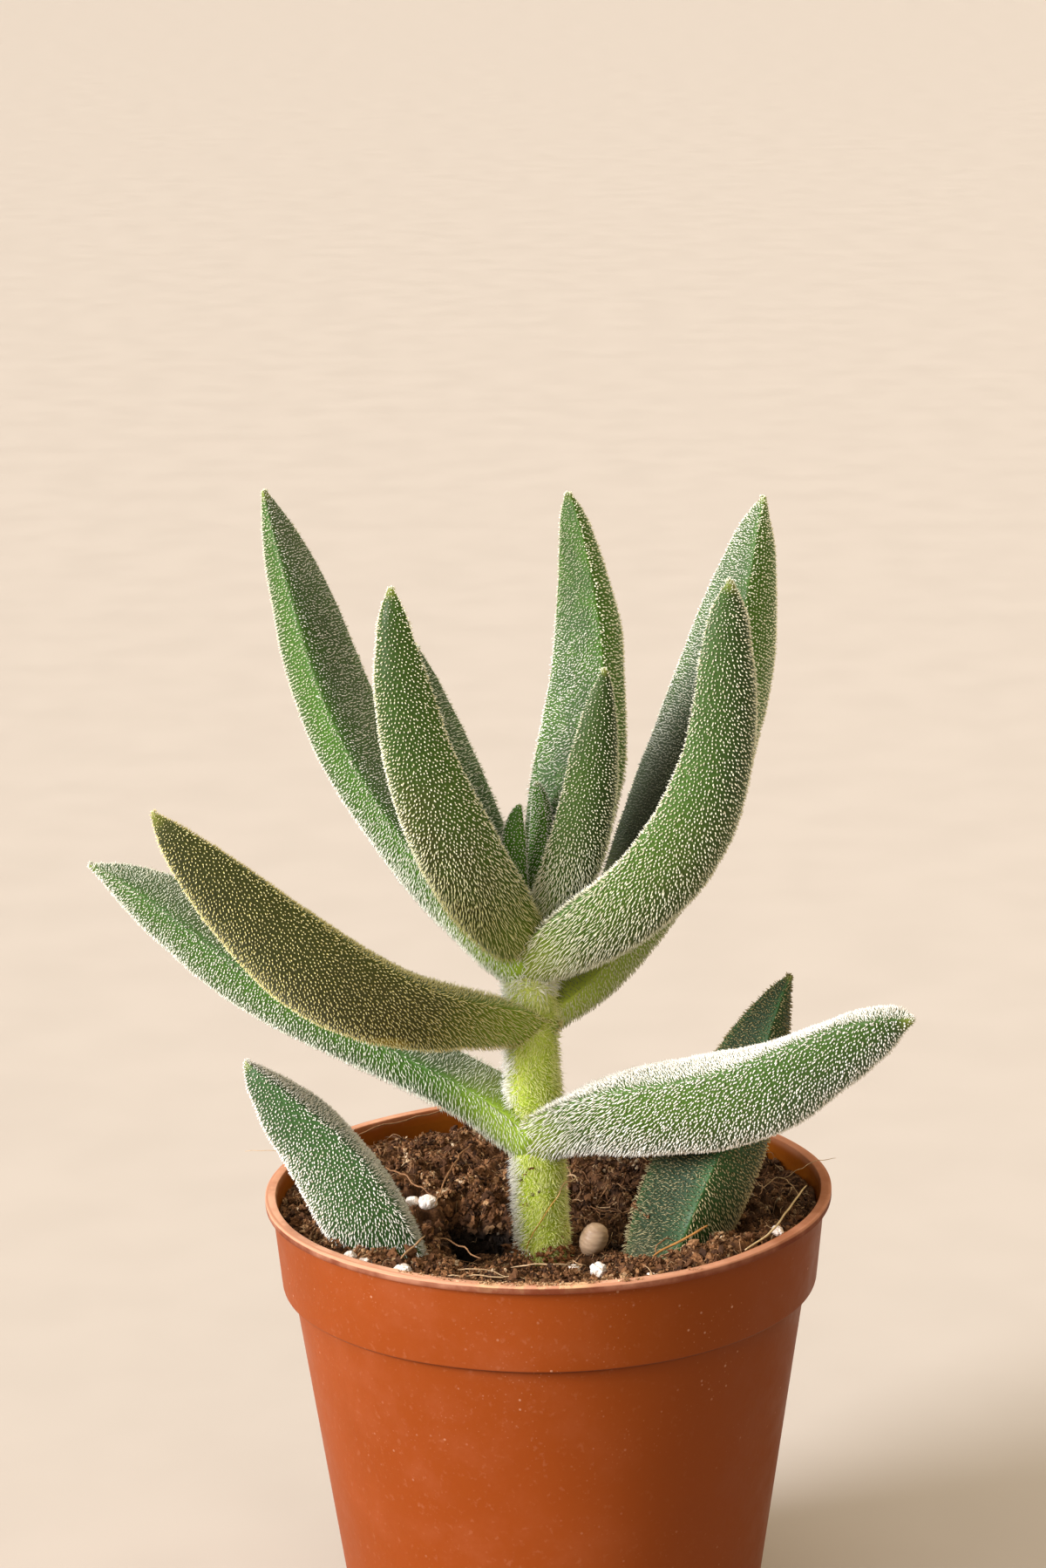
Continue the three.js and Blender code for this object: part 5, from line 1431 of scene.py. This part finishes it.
                bag.add(v, None, t, None, uvt)
            made += 1
        piece(bag.mesh(name, bits_mat, flat=True), "soil")

    scatter("soil_crumbs_fine", int(9600 * few), 0.09, 0.27, 0, 1.0, tone=(1.4, 1.6))
    scatter("soil_crumbs_mid", int(900 * few), 0.24, 0.5, 1, 0.7, tone=(1.4, 2.0))

    def at_front(k):
        a, r = np.radians(rng.uniform(-138, -48, k)), 25.9 - rng.gamma(1.2, 1.6, k)
        return r * np.cos(a), r * np.sin(a)

    def in_well(k):
        a, f = rng.uniform(0, 2 * math.pi, k), rng.uniform(0.5, 1.15, k)
        return -7.2 + 4.4 * f * np.cos(a), 0.9 + 5.0 * f * np.sin(a)

    scatter("soil_crumbs_hollow", int(1500 * few), 0.12, 0.4, 0, 1.3, where=in_well, tone=(1.4, 2.0))
    scatter("soil_lumps_hollow", int(620 * few), 0.28, 0.66, 1, 0.9, where=in_well, tone=(1.4, 2.4))
    scatter("soil_crumbs_front", int(1500 * few), 0.09, 0.3, 0, 1.6, where=at_front, tone=(2.2, 1.3))
    scatter("soil_lumps_front", int(330 * few), 0.26, 0.62, 1, 0.9, where=at_front, tone=(1.2, 2.5))
    def heap(name, heaps):
        """Listed heaps of loose crumbs: (x, y, z, wide, high, count, tone)."""
        bag = Bag()
        rows, t = shapes[0]
        for (x, y, z, wide, high, count, tone) in heaps:
            for _ in range(int(count * (1))):
                r, a = math.sqrt(rng.uniform()), rng.uniform(0, 2 * math.pi)
                size = rng.uniform(0.09, 0.26)
                px, py, pz = x + wide * r * math.cos(a), y + wide * r * math.sin(a), z + high * (1 - r * r) * rng.uniform(0.1, 1.0)
                if math.hypot(px, py) > 26.0:
                    continue
                sc = size * np.array([1.0, rng.uniform(0.4, 1.0), rng.uniform(0.35, 0.85)])
                v = (rows[rng.integers(0, len(rows))] * sc) @ random_rotation(rng).T + [px, py, pz]
                uvt = np.empty((len(t), 3, 2))
                uvt[..., 0] = np.clip(tone + rng.normal(0, 0.18), 0.0, 0.98)
                uvt[..., 1] = rng.uniform(0.05, 0.95)
                uvt[:, 1, 0] += 0.003
                uvt[:, 2, 1] += 0.003
                bag.add(v, None, t, None, uvt)
        piece(bag.mesh(name, bits_mat, flat=True), "soil")

    heap("soil_heaps", [
        (-15.8, -17.7, 46.9, 2.2, 1.4, 330, 0.42), (-10.6, -20.6, 46.6, 2.6, 1.2, 260, 0.5), (-5.6, -21.6, 46.6, 2.6, 1.1, 260, 0.55),
        (1.0, -21.8, 46.4, 2.8, 1.1, 240, 0.5), (8.4, -19.2, 46.4, 2.6, 1.2, 240, 0.45), (6.6, -14.6, 44.9, 2.0, 1.6, 220, 0.4),
        (15.0, -17.6, 46.8, 3.0, 1.4, 300, 0.5), (-20.4, -14.0, 46.8, 1.8, 1.2, 160, 0.45), (-3.5, -12.2, 44.0, 2.4, 1.5, 220, 0.3)])

    # crumbs that cling to the foot of the right-hand leaf in the soil
    bag = Bag()
    rows, t = shapes[0]
    for _ in range(260):
        S, T = np.array([0.2 + 0.2 * rng.uniform() ** 1.4]), np.array([rng.uniform(0.05, 1.5)])
        at = leaf_point(LEAVES["leaf_soil_right"], S, T, 107)[0] + leaf_normal(LEAVES["leaf_soil_right"], S, T, 107)[0] * rng.uniform(0.1, 0.4)
        if at[2] > 48.6:
            continue
        sc = rng.uniform(0.07, 0.24) * np.array([1.0, rng.uniform(0.4, 0.9), rng.uniform(0.35, 0.8)])
        v = (rows[rng.integers(0, len(rows))] * sc) @ random_rotation(rng).T + at
        uvt = np.empty((len(t), 3, 2))
        uvt[..., 0] = np.clip(rng.normal(0.4, 0.2), 0.02, 0.95)
        uvt[..., 1] = rng.uniform(0.05, 0.95)
        uvt[:, 1, 0] += 0.003
        uvt[:, 2, 1] += 0.003
        bag.add(v, None, t, None, uvt)
    piece(bag.mesh("soil_on_leaf", bits_mat, flat=True), "soil")

    # a dry crust of fine crumbs on the front of the lip
    bag = Bag()
    crust = [(math.radians(rng.uniform(-122, -56)), rng.uniform(26.5, 27.2), rng.uniform(0.1, 0.6)) for _ in range(26)]
    for _ in range(620):
        a, r, wide = crust[rng.integers(0, len(crust))] if rng.uniform() < 0.7 else (math.radians(rng.normal(-94, 7.0)), rng.uniform(26.5, 27.2), 0.4)
        a, r = a + rng.normal(0, wide) / 27, min(27.35, max(26.3, r + rng.normal(0, 0.14)))
        size = 0.035 * (0.15 / 0.035) ** (rng.uniform() ** 1.6)
        sc = size * np.array([1.0, rng.uniform(0.5, 1.0), rng.uniform(0.3, 0.6)])
        v = (rows[rng.integers(0, len(rows))] * sc) @ random_rotation(rng).T + [r * math.cos(a), r * math.sin(a), 48.02 + 0.3 * size]
        uvt = np.empty((len(t), 3, 2))
        uvt[..., 0] = rng.uniform(0.62, 0.98)
        uvt[..., 1] = rng.uniform(0.05, 0.95)
        uvt[:, 1, 0] += 0.003
        uvt[:, 2, 1] += 0.003
        bag.add(v, None, t, None, uvt)
    piece(bag.mesh("soil_on_lip", bits_mat, flat=True), "soil")

    clods("soil_clods_a", int(430 * few), 18, 0.35, 1.0)
    clods("soil_clods_b", int(430 * few), 18, 0.35, 1.0)


make_soil()


def fibre_material(name, colours):
    m = Mat(name)
    u, v = m.uv()
    grain = m.noise(1800.0, 3, 0.6)
    col = m.ramp(u, colours)
    col = m.mix(m.remap(grain, 0.35, 0.7, 0.0, 0.5), col, tuple(c * 0.55 for c in colours[0][1]))
    return m.set(Base_Color=col, Roughness=m.remap(grain, 0.3, 0.7, 0.55, 0.8, "LINEAR"), Specular_IOR_Level=0.35,
                 Normal=m.bump(grain, 0.4, 0.0001))


def make_fibres():
    rng = np.random.default_rng(23)
    mat = fibre_material("fibre_bits", [(0.0, srgb(84, 52, 30)), (0.4, srgb(134, 92, 58)), (0.75, srgb(168, 126, 88)), (1.0, srgb(206, 176, 136))])
    few = 1.0

    def litter(bag, count, shortest, longest, thin, thick, n, sides, curliness, arches):
        made = 0
        while made < count:
            r, a = 25.8 * math.sqrt(rng.uniform()), rng.uniform(0, 2 * math.pi)
            x, y = r * math.cos(a), r * math.sin(a)
            ln = shortest * (longest / shortest) ** rng.uniform()
            t = np.linspace(-0.5, 0.5, n)
            ang = rng.uniform(0, 2 * math.pi) + rng.normal(0, curliness) * t + rng.normal(0, curliness * 0.6) * t * t
            px = x + np.cumsum(np.cos(ang)) / n * ln
            py = y + np.cumsum(np.sin(ang)) / n * ln
            arch, lie = rng.uniform(*arches), rng.uniform(0.15, 0.6)
            drop, wob, rr, u = rng.uniform(-0.15, 0.35), rng.normal(0, 0.05, n), rng.uniform(thin, thick), rng.uniform(0, 0.97)
            if (np.hypot(px, py) > 26.1).any():
                continue
            pz = soil_surface(px, py)
            pz = lie * pz + (1 - lie) * np.interp(t, [-0.5, 0.5], [pz[0], pz[-1]]) + drop + arch * ln * (1 - (2 * t) ** 2) + wob
            pts = np.stack([px, py, pz], -1)
            if (np.hypot((px + 7.2) / 5.2, (py - 0.9) / 5.8) < 1).any() and rng.uniform() < 0.93:
                continue
            if inside_stem(pts, 0.1).any() or inside_leaf(LEAVES["leaf_soil_left"], pts).any() or inside_leaf(LEAVES["leaf_soil_right"], pts).any():
                continue
            bag.add(*tube_arrays(pts, rr * (1 - 0.6 * np.abs(2 * t) ** 3), sides, u0=u, u1=u + 0.02))
            made += 1

    small_bag = Bag()
    litter(small_bag, int(3300 * few), 0.6, 2.3, 0.024, 0.055, 6, 3, 1.8, (-0.1, 0.32))
    piece(small_bag.mesh("soil_fibres_fine", mat), "soil")
    bag = Bag()
    litter(bag, int(480 * few), 1.6, 5.0, 0.035, 0.08, 9, 5, 1.1, (-0.03, 0.12))
    # longer ones seen in the photograph
    seen = [
        ([(-11, 2.2, 45.5), (-10.0, 7.0, 46.6), (-8.6, 13.0, 46.9), (-7.4, 17.8, 46.6)], 0.09, 0.62),
        ([(-16.5, 11.5, 46.3), (-14.6, 8.2, 46.5), (-12.6, 5.6, 46.1), (-11.5, 4.3, 45.8)], 0.09, 0.5),
        ([(-10.9, -11.2, 46.8), (-9.6, -12.2, 46.9), (-8.0, -13.4, 46.6), (-6.3, -15.3, 46.3)], 0.075, 0.6),
        ([(1.0, 7.3, 45.1), (1.6, 7.9, 46.0), (2.5, 7.6, 46.4), (3.1, 6.8, 45.8)], 0.1, 0.9),
        ([(-22.5, 13.5, 47.4), (-17.0, 17.5, 48.3), (-10.0, 21.5, 48.6), (-4.0, 24.0, 48.0)], 0.07, 0.55),
        ([(-3.5, -19.5, 46.9), (-1.0, -20.4, 47.5), (1.6, -20.2, 47.4), (3.4, -19.2, 47.0)], 0.07, 0.93),
        ([(9.6, -19.7, 47.4), (10.4, -18.4, 48.6), (11.0, -17.6, 49.0), (11.9, -17.3, 48.3)], 0.06, 0.5),
        ([(20.6, -1.0, 47.6), (22.6, 0.6, 48.2), (23.6, -1.4, 48.3), (24.0, -3.0, 47.7)], 0.06, 0.9),
        ([(-12.0, -22.6, 47.4), (-8.0, -23.6, 47.7), (-4.6, -24.0, 47.7), (-1.0, -24.2, 47.6)], 0.06, 0.96),
        ([(-8.4, -21.4, 47.5), (-7.0, -22.6, 48.0), (-5.2, -22.6, 47.8), (-3.8, -23.7, 47.6)], 0.05, 0.94),
        ([(2.0, -17.2, 46.0), (2.4, -18.8, 47.0), (3.0, -20.2, 47.3), (2.4, -21.6, 47.2)], 0.055, 0.8),
        ([(-14.6, -12.8, 46.6), (-15.2, -15.4, 47.5), (-16.4, -17.6, 48.0), (-18.2, -19.0, 47.6)], 0.06, 0.85),
        ([(-19.4, 4.0, 46.6), (-22.8, 7.0, 47.8), (-26.8, 9.4, 48.6), (-30.2, 10.5, 48.4)], 0.035, 0.95),
        ([(23.2, 2.6, 47.3), (25.4, 4.0, 48.2), (27.2, 5.0, 48.4), (28.6, 5.5, 48.2)], 0.035, 0.95),
    ]
    for pts, r, u in seen:
        p = spline(pts, 18)
        t = np.linspace(-1, 1, 18)
        p = p + np.stack([vnoise(p, 1 / 1.1, 61 + i) for i in range(3)], 1) * 0.24
        bag.add(*tube_arrays(p, r * (1 - 0.55 * np.abs(t) ** 4), 6, u0=u, u1=u + 0.02))
    piece(bag.mesh("soil_fibres", mat), "soil")

    looks = {
        "fibre_pale": [(0.0, srgb(206, 176, 128)), (1.0, srgb(230, 206, 160))],
        "fibre_brown": [(0.0, srgb(150, 100, 44)), (1.0, srgb(178, 126, 66))],
        "fibre_stalk": [(0.0, srgb(170, 130, 92)), (1.0, srgb(194, 154, 114))],
    }
    for name, (r, via) in THREADS.items():
        p = spline(via, 40)
        t = np.linspace(-1, 1, 40)
        p = p + np.stack([vnoise(p, 1 / 1.8, 81 + i) for i in range(3)], 1) * 0.1
        rr = r * (1 - 0.5 * np.abs(t) ** 6) * (1 + 0.12 * vnoise(p, 1 / 0.7, 7))
        b = Bag()
        b.add(*tube_arrays(p, rr, 8))
        piece(b.mesh(name + "_thread", fibre_material(name, looks[name])), name)


make_fibres()


# ================================================================ perlite and pebble
def perlite_material():
    m = Mat("perlite")
    n1 = m.noise(900.0, 5, 0.7)
    pits = m.voronoi(1700.0)
    col = m.mix(m.remap(n1, 0.35, 0.7), srgb(226, 208, 194), srgb(252, 244, 236))
    col = m.mix(m.remap(pits, 0.22, 0.05, 0.0, 0.5), col, srgb(150, 118, 92))
    return m.set(Base_Color=col, Roughness=m.remap(n1, 0.3, 0.7, 0.7, 0.9, "LINEAR"), Specular_IOR_Level=0.3,
                 Subsurface_Weight=0.15, Subsurface_Radius=(1, 0.9, 0.8), Subsurface_Scale=0.0004,
                 Normal=m.bump(m.math("ADD", n1, m.math("MULTIPLY", pits, 0.8)), 0.8, 0.0002))


def rot_z(a):
    return np.array([[math.cos(a), -math.sin(a), 0], [math.sin(a), math.cos(a), 0], [0, 0, 1]])


def rot_y(a):
    return np.array([[math.cos(a), 0, math.sin(a)], [0, 1, 0], [-math.sin(a), 0, math.cos(a)]])


pm = perlite_material()
ico_v, ico_t = icosphere(4)
# the pair beside the hollow is smooth and touches
SMOOTH = {"perlite_01": (-13.4, 4.3, 44.95, 0.68, 0.62, 0.58, 0.2), "perlite_02": (-11.85, 4.0, 45.0, 1.0, 0.78, 0.8, 0.3)}
for k, (name, (x, y, z, hx, hy, hz, turn)) in enumerate(PERLITE.items()):
    x, y, z, hx, hy, hz, turn = SMOOTH.get(name, (x, y, z, hx, hy, hz, turn))
    rough, grow = (0.5, 1.0) if name in SMOOTH else (1.0, 1.1)
    f = 1 + rough * (0.2 * fbm(ico_v, 1.4, 3, 800 + 11 * k)[:, None] - 0.09 * np.abs(vnoise(ico_v, 5.0, 850 + k))[:, None] + 0.05 * vnoise(ico_v, 9.0, 870 + k)[:, None])
    v = (ico_v * f * [grow * hx, grow * hy, grow * hz]) @ rot_z(turn).T + [x, y, z]
    piece(new_mesh(name + "_grain", v, None, ico_t, None, None, pm), name)

pb = Mat("pebble")
band = pb.node("ShaderNodeMapping")
pb.put(band.inputs["Vector"], pb.coords())
band.inputs["Scale"].default_value = (0.2, 0.2, 1.0)
bn = pb.noise(1600.0, 3, 0.6, band.outputs[0])
sp = pb.noise(1400.0, 4, 0.65)
pcol = pb.mix(pb.remap(bn, 0.35, 0.68), srgb(158, 130, 104), srgb(184, 156, 128))
pcol = pb.mix(pb.remap(sp, 0.62, 0.72, 0.0, 0.5), pcol, srgb(140, 104, 76))
pb.set(Base_Color=pcol, Roughness=pb.remap(sp, 0.3, 0.7, 0.42, 0.6, "LINEAR"), Specular_IOR_Level=0.4,
       Subsurface_Weight=0.1, Subsurface_Radius=(1, 0.8, 0.6), Subsurface_Scale=0.0006, Normal=pb.bump(bn, 0.35, 0.00012))
v = ico_v * (1 + 0.02 * vnoise(ico_v, 2.2, 91))[:, None] * (1 + 0.012 * np.sin(ico_v[:, 2:3] * 26)) * [0.94, 0.94, 1] * np.concatenate([1 + 0.08 * ico_v[:, 2:3]] * 2 + [np.ones((len(ico_v), 1))], 1)
v = (v * PEBBLE["half"]) @ rot_y(PEBBLE["lean"] + 0.17).T + PEBBLE["at"]
piece(new_mesh("pebble_bead", v, None, ico_t, None, None, pb.m), "pebble")

# ================================================================ floor and light
fm = Mat("floor")
fn = fm.noise(60.0, 4, 0.5)
fm.set(Base_Color=fm.mix(fm.remap(fn, 0.3, 0.7), srgb(190, 182, 174), srgb(192, 184, 176)), Roughness=fm.remap(fn, 0.3, 0.7, 0.6, 0.75, "LINEAR"),
       Specular_IOR_Level=0.2)
ang = np.arange(96) / 96 * 2 * math.pi
fv = np.concatenate([[[0, 0, -0.05]]] + [np.stack([r * np.cos(ang), r * np.sin(ang), np.full(96, -0.05)], -1) for r in (60, 200, 600, 2000, 9000)])
fq = []
ft = [(0, 1 + j, 1 + (j + 1) % 96) for j in range(96)]
for k in range(4):
    for j in range(96):
        j1 = (j + 1) % 96
        fq.append((1 + k * 96 + j, 1 + (k + 1) * 96 + j, 1 + (k + 1) * 96 + j1, 1 + k * 96 + j1))
floor = new_mesh("floor", fv, np.array(fq), np.array(ft), None, None, fm.m)


def sun(name, azimuth, elevation, strength, spread, colour):
    """A soft far light, from azimuth degrees round from +X and elevation degrees up."""
    d = bpy.data.lights.new(name, "SUN")
    d.energy = strength
    d.angle = math.radians(spread)
    d.color = colour
    o = bpy.data.objects.new(name, d)
    a, e = math.radians(azimuth), math.radians(elevation)
    o.location = (math.cos(a) * math.cos(e), math.sin(a) * math.cos(e), math.sin(e))
    o.rotation_euler = (-Vector(o.location)).to_track_quat("-Z", "Y").to_euler()
    bpy.context.scene.collection.objects.link(o)


sun("key", 208, 23, 5.75, 26, (0.99, 0.975, 1.0))
sun("overhead", 238, 60, 1.7, 80, (1.0, 0.94, 0.86))
sun("front", 270, 16, 0.46, 60, (1.0, 0.95, 0.74))
sun("back_right", 40, 42, 1.35, 50, (1.0, 0.8, 0.5))
world = bpy.data.worlds.new("studio")
world.use_nodes = True
bg = world.node_tree.nodes["Background"]
bg.inputs[0].default_value = (1.0, 0.78, 0.54, 1.0)
bg.inputs[1].default_value = 0.22
bpy.context.scene.world = world
bpy.context.scene.view_settings.view_transform = "Standard"
bpy.context.scene.view_settings.look = "None"
bpy.context.scene.view_settings.exposure = 0.0
